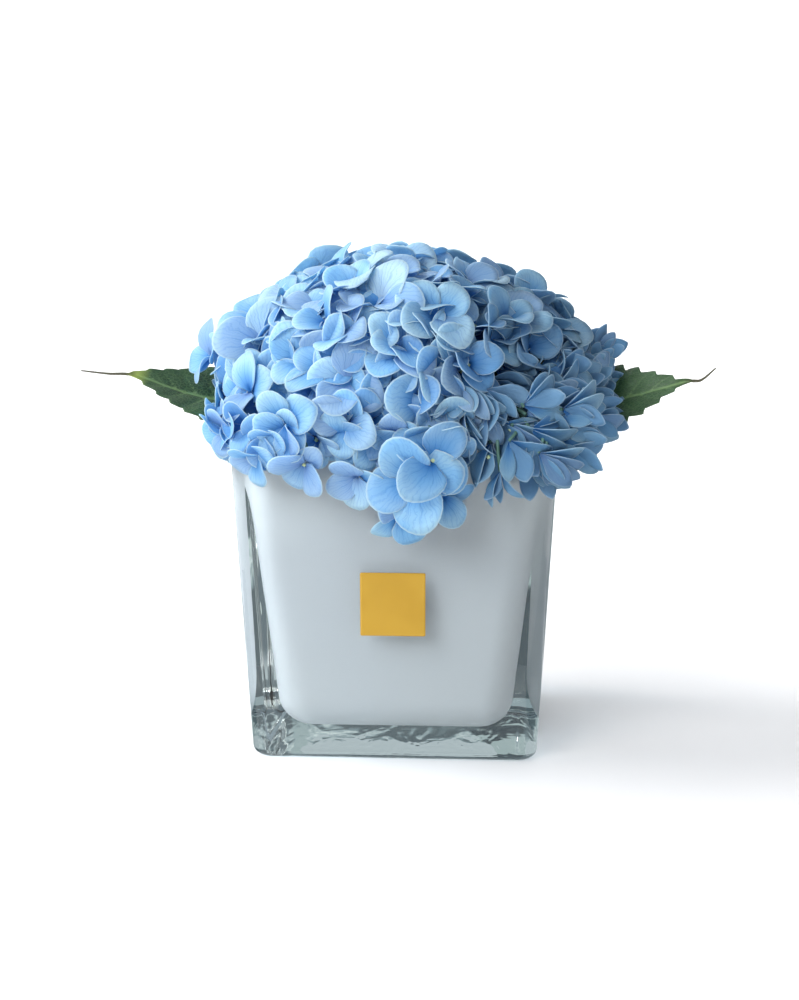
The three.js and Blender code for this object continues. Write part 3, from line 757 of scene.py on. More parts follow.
def hang(floret):
    """Turns a floret of the skirt down, and folds one low on the right into a fan along the bunch."""
    at = floret["at"]
    if floret.get("open"):
        return floret
    low = 0 if at[1] > 20 else low_on_the_right(at)
    skirt = ramp(at[2], 146, 134) * (at[1] < 0) * (1 - low)
    down = unit((0.4 * np.sign(at[0]), -0.6, -0.75))
    floret["facing"] = unit(mix(floret["facing"], down, 0.5 * skirt))
    floret["cup"] = tuple(cup + 10 * skirt for cup in floret["cup"])
    if low > 0.45:
        out = unit((at - DOME["centre"]) / np.square(DOME["radii"]))
        aside = ramp(at[0], 30, 60)
        drop = (at[2] - 150) * (2 if at[2] < 150 else 1)
        slope = math.radians(mix(-86, 8, aside * aside * (3 - 2 * aside)) + drop)
        aim = np.array([math.cos(slope), 0, math.sin(slope)])
        floret["aim"] = unit(aim + (0.5 - aim @ out) * out)
        floret["face"] = unit(0.6 * out + (0, -0.6, 0.5))
        floret["roll"] = mix(1.05, 0.55, aside)
        floret["back"] = mix(6, 2, aside)
    return floret


def outer_florets():
    """The florets of the solids: the strays, then those on the dome."""
    draw_one = seeded_random(DOME["seed"])
    florets = []
    for at, facing, turn, radius, cup in STRAYS:
        florets.append(new_floret(at, unit(facing), math.radians(turn), radius, (cup, cup + 5)))
    for way in dome_ways(FLORET["spacing"]):
        draw = np.array([draw_one() - 0.5 for _ in range(9)])
        at = way * DOME["radii"] + DOME["centre"]
        name = head_at(at)
        head = HEADS[name]
        at = at + head["shift"] + draw[:3] * 2 * FLORET["jitter"]
        nearest = min(np.linalg.norm(other["at"] - at) for other in florets)
        if not clear_of_rim(at) or nearest < FLORET["spacing"] * FLORET["crowding"] or over_leaf(at):
            continue
        facing = unit(way / DOME["radii"])
        facing = mix(facing, unit(at - head["heart"]), FLORET["outward"])
        facing = unit(facing + draw[3:6] * 2 * FLORET["tilt"])
        cup = [mix(*head["cup"], draw[i] + 0.5) for i in (8, 3)]
        radius = FLORET["radius"] + draw[7] * 2 * FLORET["spread"]
        at = at - facing * FLORET["sunk"] * radius * math.sin(math.radians(sum(cup) / 2))
        florets.append(new_floret(at, facing, draw[6] * math.pi, radius, cup, name))
    return florets


def shown_florets():
    """The florets of the solids, a little smaller, with the large one low in front as a pair."""
    florets = outer_florets()[1:]
    for i, floret in enumerate(florets):
        x, y, z = floret["at"]
        if i > 0:
            floret["radius"] *= SLIMMER["all"]
        if 0 < i < len(STRAYS) - 1:
            floret["cup"] = tuple(cup + STRAY_CUP for cup in floret["cup"])
            floret["radius"] *= SLIMMER["low_stray"] if z < 134 else SLIMMER["stray"]
        if x < -60 and y < -20 and z < 150:
            floret["radius"] *= SLIMMER["left_cluster"]
    for at, facing, turn, radius, cup in OPEN_PAIR:
        turn = math.radians(turn)
        # The pair's depth paints its petals darker: painted shade low in front.
        florets.append(new_floret(at, unit(facing), turn, radius, (cup, cup + 8), open=True, depth=0.5))
    return florets


def layer_florets():
    """Smaller florets in the gaps, a little under the dome."""
    for layer in LAYERS:
        random = np.random.default_rng(layer["seed"])
        for way in dome_ways(layer["spacing"]):
            draw = random.random(9) - 0.5
            at = way * (np.array(DOME["radii"]) - layer["depth"]) + DOME["centre"]
            name = head_at(at)
            at = at + HEADS[name]["shift"] + draw[:3] * 5
            if at[2] < VASE["height"] + SKIRT["above"] + 2:
                continue
            facing = unit(unit(way / DOME["radii"]) + draw[3:6] * 2 * layer["tilt"])
            cup = [mix(*layer["cup"], draw[i] + 0.5) for i in (7, 8)]
            yield new_floret(at, facing, draw[6] * math.pi, layer["radius"], cup, name, depth=layer["shade"])


def rim_florets():
    """A row of florets over each side of the vase's rim, further in at the sides and the back."""
    random = np.random.default_rng(RIM_ROW["seed"])
    half = VASE["rim_half"] + RIM_ROW["out"]
    count = round(2 * half / RIM_ROW["spacing"])
    for side in range(4):
        out = np.array([math.cos(side * math.pi / 2), math.sin(side * math.pi / 2), 0])
        along = np.array([-out[1], out[0], 0])
        inset = 0 if side == 3 else RIM_ROW["side_inset"]
        for i in range(count):
            draw = random.random(9) - 0.5
            span = (2 * (i + 0.5) / count - 1) * (half - 6)
            at = out * (half - inset + draw[0] * 3) + along * (span + draw[1] * 6)
            at[2] = mix(*RIM_ROW["z"], draw[2] + 0.5)
            past = max(np.hypot(at[0], at[1]) - RIM_ROW["corner_reach"], 0)
            at[:2] *= 1 - past / np.hypot(at[0], at[1])
            facing = unit(out + along * span / half * 0.5 + draw[3:6] * (1.0, 1.0, 0.9))
            cup = [mix(*RIM_ROW["cup"], draw[i] + 0.5) for i in (7, 8)]
            yield new_floret(at, facing, draw[6] * math.pi, RIM_ROW["radius"], cup, depth=RIM_ROW["depth"])


def hanging_florets():
    random = np.random.default_rng(HANGING["seed"])
    for _ in range(HANGING["count"]):
        draw = random.random(9)
        at = [mix(*HANGING[axis], draw[i]) for i, axis in enumerate("xyz")]
        facing = unit((0.3, -0.8, -0.4) + (draw[3:6] - 0.5) * 0.9)
        cup = (14 + 20 * draw[7], 14 + 20 * draw[8])
        yield new_floret(at, facing, draw[6] * math.pi, HANGING["radius"], cup)


def inner_florets():
    """The florets that the solids do without, apart from those that would hide a leaf."""
    corners = [new_floret(at, unit(facing), at[1] / 20, **CORNER_FLORET) for at, facing in CORNERS]
    florets = [*layer_florets(), *rim_florets(), *hanging_florets(), *corners]
    return [floret for floret in florets if not over_leaf(floret["at"])]


# ---------- petals ----------


def petal_form(name, random, shut):
    """One thin closed petal along +X of length 1, as a fan of rows from its base to its round margin.

    The margin is an arc of a circle round a centre out on the petal. A shut petal is narrower and
    a deeper trough.
    """
    columns, rows = PETAL["columns"], PETAL["rows"]
    half = math.radians(mix(54, 62, random.random()) if not shut else mix(30, 42, random.random()))
    centre = (0.5 if not shut else 0.6) + 0.05 * random.random()
    ball = 1 - centre
    half = min(half, 0.97 * math.asin(ball / centre)) if ball < centre else half
    wave = (0.02 if shut else 0.03) + 0.03 * random.random()
    ripple, tip = random.random(2) * 2 * math.pi
    curl = 0.08 + 0.2 * random.random()
    hollow = (0.5 if shut else 0.18) + 0.3 * random.random()
    fold = (0.1 if shut else 0.05) * random.random()
    point = 0.05 if shut else 0.025 * random.random()
    skew = (random.random() - 0.5) * 0.2
    slim = mix(0.6, 0.8, random.random()) if shut else 1
    top, uv = [], []
    for r in range(rows + 1):
        t = mix(0.05, 1, (r / rows) ** 0.85)
        for c in range(columns + 1):
            u = 2 * c / columns - 1
            angle = u * half
            reach = centre * math.cos(angle) + math.sqrt(max(ball**2 - (centre * math.sin(angle)) ** 2, 0))
            reach *= 1 - 0.06 * u**6 - point * (1 - (1 - abs(u)) ** 3) + 0.012 * math.sin(5 * angle + tip)
            x = t * reach * math.cos(angle)
            y = slim * t * reach * math.sin(angle) + skew * x * x
            z = hollow * y * y + fold * abs(y) * (1 - 0.5 * x) - curl * x**3 + 0.12 * x * (1 - x)
            z += wave * t**2 * math.sin(3.2 * angle + ripple) + 0.35 * wave * t**4 * math.sin(9 * angle + tip)
            top.append((x, y, z))
            uv.append(((u + 1) / 2, t))
    return sheet_form(name, np.array(top), rows, columns, PETAL["thickness"] / FLORET["radius"], uv)


def sheet_form(name, top, rows, columns, thickness, uv):
    """A closed thin solid over a grid of points, with its underside marked."""
    grid = top.reshape(rows + 1, columns + 1, 3)
    slope = np.cross(np.gradient(grid, axis=0), np.gradient(grid, axis=1)).reshape(-1, 3)
    slope /= np.maximum(np.linalg.norm(slope, axis=1, keepdims=True), 1e-9)
    bottom = top - slope * thickness
    count = len(top)
    faces = []
    for r in range(rows):
        for c in range(columns):
            a = r * (columns + 1) + c
            quad = (a, a + columns + 1, a + columns + 2, a + 1)
            faces.append(quad)
            faces.append(tuple(i + count for i in reversed(quad)))
    last = rows * (columns + 1)
    edge = [*range(columns), *(columns + r * (columns + 1) for r in range(rows))]
    edge += [*(last + c for c in range(columns, 0, -1)), *(r * (columns + 1) for r in range(rows, 0, -1))]
    for a, b in zip(edge, edge[1:] + edge[:1]):
        faces.append((a, b, b + count, a + count))
    mesh = new_mesh(name, np.concatenate([top, bottom]).tolist(), faces)
    set_attribute(mesh, "underside", "FLOAT", [0.0] * count + [1.0] * count)
    set_uv(mesh, [*uv, *uv])
    return mesh


def form_collection(name, meshes):
    """Keeps the forms that a tree places out of the scene itself."""
    collection = bpy.data.collections.new(name)
    for mesh in meshes:
        collection.objects.link(bpy.data.objects.new(mesh.name, mesh))
    return collection


def end_tree(n, geometry, given, out):
    """Makes what a tree has built real, and gives it its material."""
    real = n.put("GeometryNodeRealizeInstances", {0: geometry})
    done = n.put("GeometryNodeSetMaterial", {"Geometry": real.outputs[0], "Material": given["Finish"]})
    n.fill(out, {0: done.outputs[0]})


def scatter_tree():
    """Places one of several forms at each point, turned and sized as the point says."""
    inputs = [("Points", GEOMETRY), ("Forms", "NodeSocketCollection"), ("Size", NUMBER, 1.0)]
    inputs.append(("Finish", "NodeSocketMaterial"))
    tree, n, given, out = new_group("scatter_forms", "GeometryNodeTree", inputs, [("Pieces", GEOMETRY)])
    kept_apart = {"Collection": given["Forms"], "Separate Children": True, "Reset Children": True}
    named = {}
    for label, kind in (("form", "INT"), ("turned", "FLOAT_VECTOR"), ("length", "FLOAT")):
        named[label] = n.put("GeometryNodeInputNamedAttribute", {"Name": label}, data_type=kind).outputs[0]
    how = {
        "Points": given["Points"],
        "Instance": n.put("GeometryNodeCollectionInfo", kept_apart).outputs[0],
        "Instance Index": named["form"],
        "Pick Instance": True,
        "Rotation": named["turned"],
        "Scale": n.times(named["length"], given["Size"]),
    }
    end_tree(n, n.put("GeometryNodeInstanceOnPoints", how).outputs[0], given, out)
    return tree


def tube_tree():
    """Gives each line of a mesh a round section."""
    inputs = [("Lines", GEOMETRY), ("Radius", NUMBER), ("Sides", "NodeSocketInt")]
    inputs.append(("Finish", "NodeSocketMaterial"))
    tree, n, given, out = new_group("round_stalks", "GeometryNodeTree", inputs, [("Tubes", GEOMETRY)])
    line = n.put("GeometryNodeMeshToCurve", {"Mesh": given["Lines"]}).outputs[0]
    section = {"Resolution": given["Sides"], "Radius": given["Radius"]}
    ring = n.put("GeometryNodeCurvePrimitiveCircle", section).outputs[0]
    swept = {"Curve": line, "Profile Curve": ring, "Fill Caps": True}
    tube = n.put("GeometryNodeCurveToMesh", swept).outputs[0]
    end_tree(n, n.put("GeometryNodeSetShadeSmooth", {0: tube}).outputs[0], given, out)
    return tree


def run_tree(obj, tree, values):
    """Runs a tree on an object with values for its named inputs, and keeps the plain mesh."""
    modifier = obj.modifiers.new(tree.name, "NODES")
    modifier.node_group = tree
    for item in tree.interface.items_tree:
        if item.in_out == "INPUT" and item.name in values:
            modifier[item.identifier] = values[item.name]
    return plain_mesh(obj)


def points_object(name, places):
    """A mesh of loose points that carry their turn, length, form and tones."""
    obj = mesh_object(name, [p["at"] for p in places], [])
    set_attribute(obj.data, "turned", "FLOAT_VECTOR", [p["turned"] for p in places])
    set_attribute(obj.data, "length", "FLOAT", [p["length"] * MM for p in places])
    set_attribute(obj.data, "form", "INT", [p["form"] for p in places])
    for tone in ("tone", "muted"):
        set_attribute(obj.data, tone, "FLOAT", [p[tone] for p in places])
    return obj


def muted_and_shaded_at(at):
    """How grey and dark a petal is painted: the flowers on the right are greyer in their own colour and
    darker by painted shade, as the light falls from the left.
    """
    return mix(0.02, 0.85, ramp(at[0], 5, 45))


def petal_places(floret, random):
    """The four petals of a floret: two wide ones below and two over them, or a fan of narrow ones."""
    facing = floret["facing"]
    across = unit(np.cross((0, 0, 1), facing))
    upward = np.cross(facing, across)
    tone = random.random()
    lean = random.random(3) - 0.5
    # The crown's petals get a higher tone, which paints them paler: painted light on the top of the bunch.
    pale = 0.32 * ramp(floret["at"][2], 168, 202)
    shut = "aim" in floret
    for k in range(4):
        draw = random.random(9) - 0.5
        if shut:
            aim = unit(floret["aim"] + lean * 0.55)
            yaw = (k - 1.5) * 0.36 + draw[3] * 0.25
            side = unit(np.cross(floret["face"], aim))
            x = unit(aim * math.cos(yaw) + side * math.sin(yaw) + floret["face"] * 0.6 * draw[2])
            z = unit(floret["face"] - x * (floret["face"] @ x)) * (1 if draw[6] > -0.1 else -1)
            twist = floret["roll"] + 0.9 * lean[0] + 0.8 * draw[1]
            base = floret["at"] - floret["aim"] * floret["back"] + floret["face"] * (k % 2)
        else:
            angle = floret["turn"] + k * math.pi / 2 + draw[0] * 0.45
            lift = math.radians(floret["cup"][k % 2] + 4 * (k > 1) + draw[1] * 22 + 6)
            way = across * math.cos(angle) + upward * math.sin(angle)
            x = way * math.cos(lift) + facing * math.sin(lift)
            z = facing * math.cos(lift) - way * math.sin(lift)
            twist = draw[2] * 0.6
            base = floret["at"] + facing * (1.2 * (k % 2) - 0.6)
        turned = Matrix(np.stack([x, np.cross(z, x), z], axis=1)) @ Matrix.Rotation(twist, 3, "X")
        yield {
            "at": base,
            "turned": turned.to_euler(),
            "length": floret["radius"] * (1.0 + draw[5] * 0.2 + 0.04 * (k % 2) + 0.1 * shut),
            "form": int((draw[4] + 0.5) * PETAL["forms"]) + (PETAL["forms"] if shut else 0),
            # A floret's depth lowers its petals' tone, which paints them darker: painted shade.
            "tone": mix(tone, draw[6] + 0.5, 0.5) * floret.get("depth", 1) + pale,
            "muted": ramp(muted_and_shaded_at(floret["at"]) + draw[7] * 0.3 + 0.12 * shut, 0.0, 1.0),
        }


def root_of(at, head):
    """The nearest point to a floret that lies well inside its head's core."""
    core = np.array(head["core"]) - FLORET["root_depth"]
    inward = at - np.array(head["heart"])
    if at[2] < VASE["height"] + SKIRT["above"]:
        inward[2] = max(inward[2], VASE["height"] + STALK["root_above"] - head["heart"][2])
    return inward / max(np.linalg.norm(inward / core), 1) + head["heart"]


def stalk_line(floret):
    """The line of a floret's stalk, from inside the core to behind its petals."""
    head, at, facing = HEADS[floret["head"]], floret["at"], floret["facing"]
    end = at - floret["aim"] * floret["back"] if "aim" in floret else at - facing * STALK["behind"]
    root = root_of(at, head)
    if at[2] < VASE["height"] + SKIRT["above"]:
        over = np.array([at[0], at[1], max(at[2] + STALK["rise"], VASE["height"] + STALK["over_rim"])])
        over, end = clear_of_vase(over, STALK["clearance"])[0], clear_of_vase(end, STALK["radius"] + 0.5)[0]
        points = [root, over, end]
    else:
        length = np.linalg.norm(end - root)
        points = [root, end - facing * 0.4 * length, end]
    return smooth_path(points, 7)


def lines_object(name, lines):
    """An object of bare edges along each line of points."""
    edges, start = [], 0
    for line in lines:
        edges += [(start + i, start + i + 1) for i in range(len(line) - 1)]
        start += len(line)
    return mesh_object(name, np.concatenate(lines).tolist(), [], edges)


def eye_form():
    """The small round bud in the middle of a floret, of radius 1, open in four lobes."""
    points, faces = [(0, 0, -0.7)], []
    rings = ((0.75, -0.45), (1.0, 0.0), (0.75, 0.55), (0.3, 0.75))
    for radius, z in rings:
        for i in range(8):
            angle = i * math.pi / 4
            lobe = radius * (1 + 0.12 * math.cos(4 * angle))
            points.append((lobe * math.cos(angle), lobe * math.sin(angle), z))
    points.append((0, 0, 0.6))
    last = len(points) - 1
    for i in range(8):
        j = (i + 1) % 8
        faces.append((0, 1 + j, 1 + i))
        faces += [(1 + 8 * r + i, 1 + 8 * r + j, 9 + 8 * r + j, 9 + 8 * r + i) for r in range(len(rings) - 1)]
        faces.append((last, last - 8 + i, last - 8 + j))
    return new_mesh("eye_form", points, faces)


def core_object(name, head):
    """The dark heart of a head, knotted with the stalks that fill it. Its near-black colour is partly the
    stalks' own and partly painted shade deep inside the head.
    """
    steps = 40
    points, faces = [], []
    for i in range(steps // 2 + 1):
        polar = math.pi * i / (steps // 2)
        for j in range(steps):
            turn = 2 * math.pi * j / steps
            flat = math.sin(polar)
            way = np.array([flat * math.cos(turn), flat * math.sin(turn), math.cos(polar)])
            lump = 0.9 + 0.035 * math.sin(9 * way[0] + 4 * way[2]) * math.sin(11 * way[1] - 3 * way[0])
            lump += 0.02 * math.sin(23 * way[0] + 17 * way[1]) * math.sin(19 * way[2])
            p = way * head["core"] * lump + head["heart"]
            p[2] = max(p[2], VASE["height"] + 3)
            points.append(p)
    for i in range(steps // 2):
        for j in range(steps):
            a, b = i * steps + j, i * steps + (j + 1) % steps
            faces.append((a, a + steps, b + steps, b))
    points = clear_of_heads(np.array(points), boundaries(name))
    obj = mesh_object(f"core_{name}", points.tolist(), faces)
    weld = obj.modifiers.new("poles", "WELD")
    weld.merge_threshold = 0.01 * MM
    return plain_mesh(obj)


def scattered(piece, node, places, forms, finish, tools):
    """Places forms, keeps them out of the glass and makes them a piece."""
    obj = points_object(piece, places)
    run_tree(obj, tools["scatter"], {"Forms": forms, "Size": 1.0, "Finish": finish})
    set_points(obj, clear_of_vase(points_of(obj), FLORET["vase_clearance"]))
    finish_piece(obj, finish, node)


def round_lines(piece, lines, radius, sides, finish, tools):
    obj = lines_object(piece, lines)
    return run_tree(obj, tools["tube"], {"Radius": radius * MM, "Sides": sides, "Finish": finish})


def build_head(name, florets, tools):
    """One flower head: its petals, eyes, stalks and core."""
    node = f"bloom_{name}"
    random = np.random.default_rng(sum(map(ord, name)))
    mine = [floret for floret in florets if floret["head"] == name]
    petals = [p for floret in mine for p in petal_places(floret, random)]
    scattered(f"petals_{name}", node, petals, tools["petals"], tools["petal"], tools)

    eyes = []
    for i, floret in enumerate(mine):
        if i % EYE["on_every"] == 0 or floret.get("open"):
            turned = Vector(floret["facing"]).to_track_quat("Z", "Y").to_euler()
            at = floret["at"] + floret["facing"] * EYE["above"]
            looks = {"length": EYE["radius"], "form": 0, "tone": 0.5, "muted": 0.5}
            eyes.append({"at": at, "turned": turned, **looks})
    scattered(f"eyes_{name}", node, eyes, tools["eyes"], tools["eye"], tools)

    lines = [stalk_line(floret) for floret in mine]
    stalks = round_lines(f"stalks_{name}", lines, STALK["radius"], 6, tools["stalk"], tools)
    finish_piece(stalks, tools["stalk"], node)
    finish_piece(core_object(name, HEADS[name]), tools["core"], node)


# ---------- leaves ----------


def ovate(t, widest_by):
    return math.sin(math.pi * min(t, 1) ** widest_by) ** 0.8 * (1 - 0.25 * t)


def leaf_mesh(name, leaf):
    """A folded blade with saw teeth and sunk veins that ends in a dried tail."""
    per_tooth, tail, half_columns = LEAF["steps_per_tooth"], LEAF["tail_steps"], LEAF["half_columns"]
    random = np.random.default_rng(len(name))
    depth = 0.55 + 0.8 * random.random((LEAF["teeth"] + 1, 2))
    steps = LEAF["teeth"] * per_tooth
    outward = math.copysign(1, leaf["rib"][0][0])
    rib = smooth_path(leaf["rib"], 400)
    fold = math.radians(LEAF["fold"])
    top, uv, vein_at, dried_at, yellow_at = [], [], [], [], []
    for i in range(steps + tail + 1):
        blade = i < steps
        t = min(i / steps, 1)
        share = t * leaf["share"] if i <= steps else mix(leaf["share"], 1, (i - steps) / tail)
        k = min(int(share * 398), 398)
        at = mix(rib[k], rib[k + 1], share * 399 - k) if k < 398 else rib[399]
        along = unit(rib[min(k + 2, 399)] - rib[max(k - 2, 0)])
        roll = math.radians(mix(*leaf["roll"], min(1, t / LEAF["rolled_by"]))) * outward
        side = unit(np.cross(along, (0, 0, 1)))
        side = side * math.cos(roll) + np.cross(along, side) * math.sin(roll)
        out = unit(np.cross(side, along))
        saw = (i % per_tooth) / per_tooth
        tooth = (saw / 0.72) ** 0.8 if saw < 0.72 else math.cos((saw - 0.72) / 0.28 * math.pi / 2) ** 2
        least = mix(0.85, 0.3, max(i - steps, 0) / tail)
        widest = leaf["half_width"] * ovate(t, leaf["widest_by"]) * (1 - leaf["drawn_out"] * t**3)
        for c in range(-half_columns, half_columns + 1):
            s = c / half_columns
            upper = s * outward < 0
            cut = leaf["tooth"] * depth[i // per_tooth if blade else -1, int(upper)] * (1 - tooth)
            cut *= min(1, 6 * t) * (leaf["upper_teeth"] if upper else 1) * blade
            width = max(widest - cut * abs(s) ** 3, least)
            wide = width * abs(s)
            # Side veins leave the rib at a slant and lean to the tip.
            bow = (t - 0.2 * abs(s) + 0.06 * s * s) * LEAF["veins"] + (0.5 if s > 0 else 0)
            off_vein = abs(bow - round(bow)) / LEAF["veins"] * 85
            vein = math.exp(-((off_vein / 1.3) ** 2)) * blade * (1 - 0.5 * abs(s))
            midrib = math.exp(-((wide / 1.1) ** 2))
            puff = 0.55 * (1 - math.exp(-((off_vein / 3) ** 2))) * min(1, wide / 4) * blade
            sway = 0.5 * math.sin(5.1 * t + 2.4 * s) * s * s * min(1, 4 * t) * blade
            lift = wide * math.sin(fold) + puff - 0.35 * midrib + sway
            lean = leaf["tooth"] * 0.45 * tooth * abs(s) ** 3 * blade
            top.append(at + side * s * width * math.cos(fold) + out * lift + along * lean)
            uv.append((t if i <= steps else 1.0, (s + 1) / 2))
            vein_at.append(max(vein * 0.8, midrib if blade else 0))
            dried_at.append(ramp(i - steps, -5, 1))
            yellow_at.append(leaf["yellow"] * ramp(t, 0.87, 0.95))
    thickness = LEAF["thickness"] * MM
    mesh = sheet_form(f"blade_{name}", np.array(top) * MM, steps + tail, 2 * half_columns, thickness, uv)
    for label, values in (("vein", vein_at), ("dried", dried_at), ("yellow", yellow_at)):
        set_attribute(mesh, label, "FLOAT", values * 2)
    return mesh


# ---------- vase ----------


def square_ring(half, radius, z, corner_steps=10, flats=(0.03, 0.5, 0.97)):
    """A square ring with round corners at height z, with a few points along each flat side."""
    arcs = []
    for corner, way in enumerate(((1, 1), (-1, 1), (-1, -1), (1, -1))):
        arc = []
        for step in range(corner_steps + 1):
            angle = (corner + step / corner_steps) * math.pi / 2
            flat = np.array(way) * (half - radius) + radius * np.array([math.cos(angle), math.sin(angle)])
            arc.append(np.array([*flat, z]))
        arcs.append(arc)
    ring = []
    for arc, following in zip(arcs, arcs[1:] + arcs[:1]):
        ring += arc
        ring += [mix(arc[-1], following[0], t) for t in flats]
    return ring


def rounded_edge(half_at, z, radius, corner, steps):
    """Rings round an edge, from the flat at z up to the wall."""
    rings = []
    for i in range(steps + 1):
        angle = i / steps * math.pi / 2
        height = z + radius * (1 - math.cos(angle))
        inset = radius * (1 - math.sin(angle))
        rings.append(square_ring(half_at(height) - inset, max(corner - inset, 1.5), height))
    return rings


def ring_solid(name, rings):
    """A closed solid over rings, with a fan over the first and the last."""
    count = len(rings[0])
    points = [p for ring in rings for p in ring]
    faces = []
    for r in range(len(rings) - 1):
        for i in range(count):
            j = (i + 1) % count
            faces.append((r * count + i, r * count + j, (r + 1) * count + j, (r + 1) * count + i))
    for ring, first, turn in ((rings[0], 0, -1), (rings[-1], (len(rings) - 1) * count, 1)):
        points.append(np.mean(ring, axis=0))
        for i in range(count):
            trio = (first + i, first + (i + 1) % count, len(points) - 1)
            faces.append(trio[::turn])
    return mesh_object(name, points, faces)


def cavity_half(z):
    up = (z - CAVITY["floor_z"]) / (VASE["height"] - CAVITY["floor_z"])
    return mix(CAVITY["floor_half"], CAVITY["rim_half"], up)


def cavity_rings(clearance, top_z):
    def half(z):
        return cavity_half(z) - clearance

    floor, radius = CAVITY["floor_z"] + clearance, CAVITY["floor_radius"] - clearance
    rings = rounded_edge(half, floor, radius, CAVITY["floor_corner"], 9)
    middle = mix(floor + radius, top_z, 0.5)
    walls = [square_ring(half(z), CAVITY["corner"], z) for z in (middle, top_z - 1, top_z)]
    flat = square_ring(half(floor) - radius - 4, 2, floor)
    return [flat, *rings, *walls]


def vase_glass():
    """The thick glass, with a shallow pressed hollow under its foot."""
    lip, foot = VASE["lip_radius"], VASE["foot_radius"]
    under = [square_ring(VASE["foot_half"] - inset, 6, rise) for inset, rise in FOOT_HOLLOW]
    outer = rounded_edge(vase_half, 0, foot, VASE["corner"], 7)
    walls = [square_ring(vase_half(z), VASE["corner"], z) for z in (foot + 1.5, 68, VASE["height"] - lip - 1)]
    lips = []
    for i in range(5):
        angle = i / 4 * math.pi / 2
        inset = lip * (1 - math.cos(angle))
        z = VASE["height"] - lip * (1 - math.sin(angle))
        lips.append(square_ring(VASE["rim_half"] - inset, VASE["corner"] - inset, z))
    inner = cavity_rings(0, VASE["height"] - 0.8)
    rim = square_ring(VASE["rim_half"] - 2.6, CAVITY["corner"] - 2.6, VASE["height"])
    return ring_solid("vase_glass_fine", [*under, *outer, *walls, *lips, rim, *reversed(inner)])


def vase_lining():
    top_z = VASE["height"] - LINING["below_rim"]
    outer = cavity_rings(-LINING["sunk"], top_z)
    inner = cavity_rings(LINING["thickness"], top_z)
    return ring_solid("vase_lining_fine", [*outer, *reversed(inner)])


def foam_block():
    """The block of foam inside the lining, which the stems are pushed into."""
    clearance, top = LINING["thickness"] + FOAM["clearance"], VASE["height"] - FOAM["below_rim"]
    floor = CAVITY["floor_z"] + LINING["thickness"] + FOAM["above_floor"]
    low, high = cavity_half(floor) - clearance - 10, cavity_half(top) - clearance - 1
    middle = square_ring(cavity_half(floor + 14) - clearance, 9, floor + 14)
    return ring_solid("foam_block", [square_ring(low, 6, floor), middle, square_ring(high, 9, top)])


def label():
    """A square plate with eased edges on the leaning front wall."""
    half, bevel, thick = LABEL["size"] / 2, LABEL["bevel"], LABEL["thickness"]
    lean = math.atan((VASE["rim_half"] - VASE["foot_half"]) / VASE["height"])
    turned = Euler((math.pi / 2 + lean, 0, 0)).to_matrix()
    centre = (0, -vase_half(LABEL["centre_z"]) - LABEL["off_glass"], LABEL["centre_z"])
    rings = []
    for size, depth in ((half, 0), (half, thick - bevel), (half - bevel, thick), (half - 1, thick)):
        ring = square_ring(size, 0.6, depth, 3, (0.5,))
        rings.append([np.array(turned @ Vector(p)) + centre for p in ring])
    return ring_solid("label_fine", rings)


# ---------- stage ----------


def card(name, corners, tones, strength=1.0):
    """A glowing card that only the glass shows, a painted reflection, in tones from its foot up, each with
    the height at which it starts.

    Scattered light passes through it, so that it darkens nothing.
    """
    obj = mesh_object(name, corners, [(0, 1, 2, 3)])
    material, n, shader, output = new_material(f"{name}_finish")
    place = n.place()
    stretched = n.stretched(place, (0.35, 1.0, 1.6))
    waver = n.math("MULTIPLY_ADD", n.noise(stretched, 34.0, 3.0, 0.6), 0.034, -0.017)
    height = n.math("ADD", n.parts(place)[2], waver)
    shade = colour(tones[0][0])
    for code, start in tones[1:]:
        shade = n.mix(n.step(height, start * MM - 0.003, start * MM + 0.003), shade, colour(code))
    n.fill(shader, {"Base Color": colour("000000"), "Roughness": 0.9})
    n.fill(shader, {"Emission Color": shade, "Emission Strength": strength})
    clear = n.put("ShaderNodeBsdfTransparent").outputs[0]
    n.fill(output, {"Surface": n.shared(n.step(n.ray("Diffuse Depth"), 0.4, 0.6), shader.outputs[0], clear)})
    obj.data.materials.append(material)
    obj.visible_camera = False
    obj.visible_diffuse = False
    obj.visible_shadow = False


def upright(near, far, z):
    return [(*near, z[0]), (*far, z[0]), (*far, z[1]), (*near, z[1])]


def build_floor():
    """A pale floor that curves up into a backdrop."""
    depth = [(-1.6, 0), (1.2, 0)]
    depth += [(1.2 + 0.8 * math.sin(a), 0.8 - 0.8 * math.cos(a)) for a in np.linspace(0.1, math.pi / 2, 12)]
    depth.append((2.0, 3.5))
    points = [(x / MM, y / MM, z / MM) for y, z in depth for x in (-3.5, 3.5)]
    faces = [(2 * i, 2 * i + 1, 2 * i + 3, 2 * i + 2) for i in range(len(depth) - 1)]
    floor = mesh_object("floor", points, faces)
    material, n, shader, _ = new_material("pale_floor")
    shade = n.mix(n.noise(n.place(), 3.0), colour("f4f4f4"), colour("f7f7f7"))
    n.fill(shader, {"Base Color": shade, "Roughness": 0.6, "Specular IOR Level": 0.2})
    floor.data.materials.append(material)


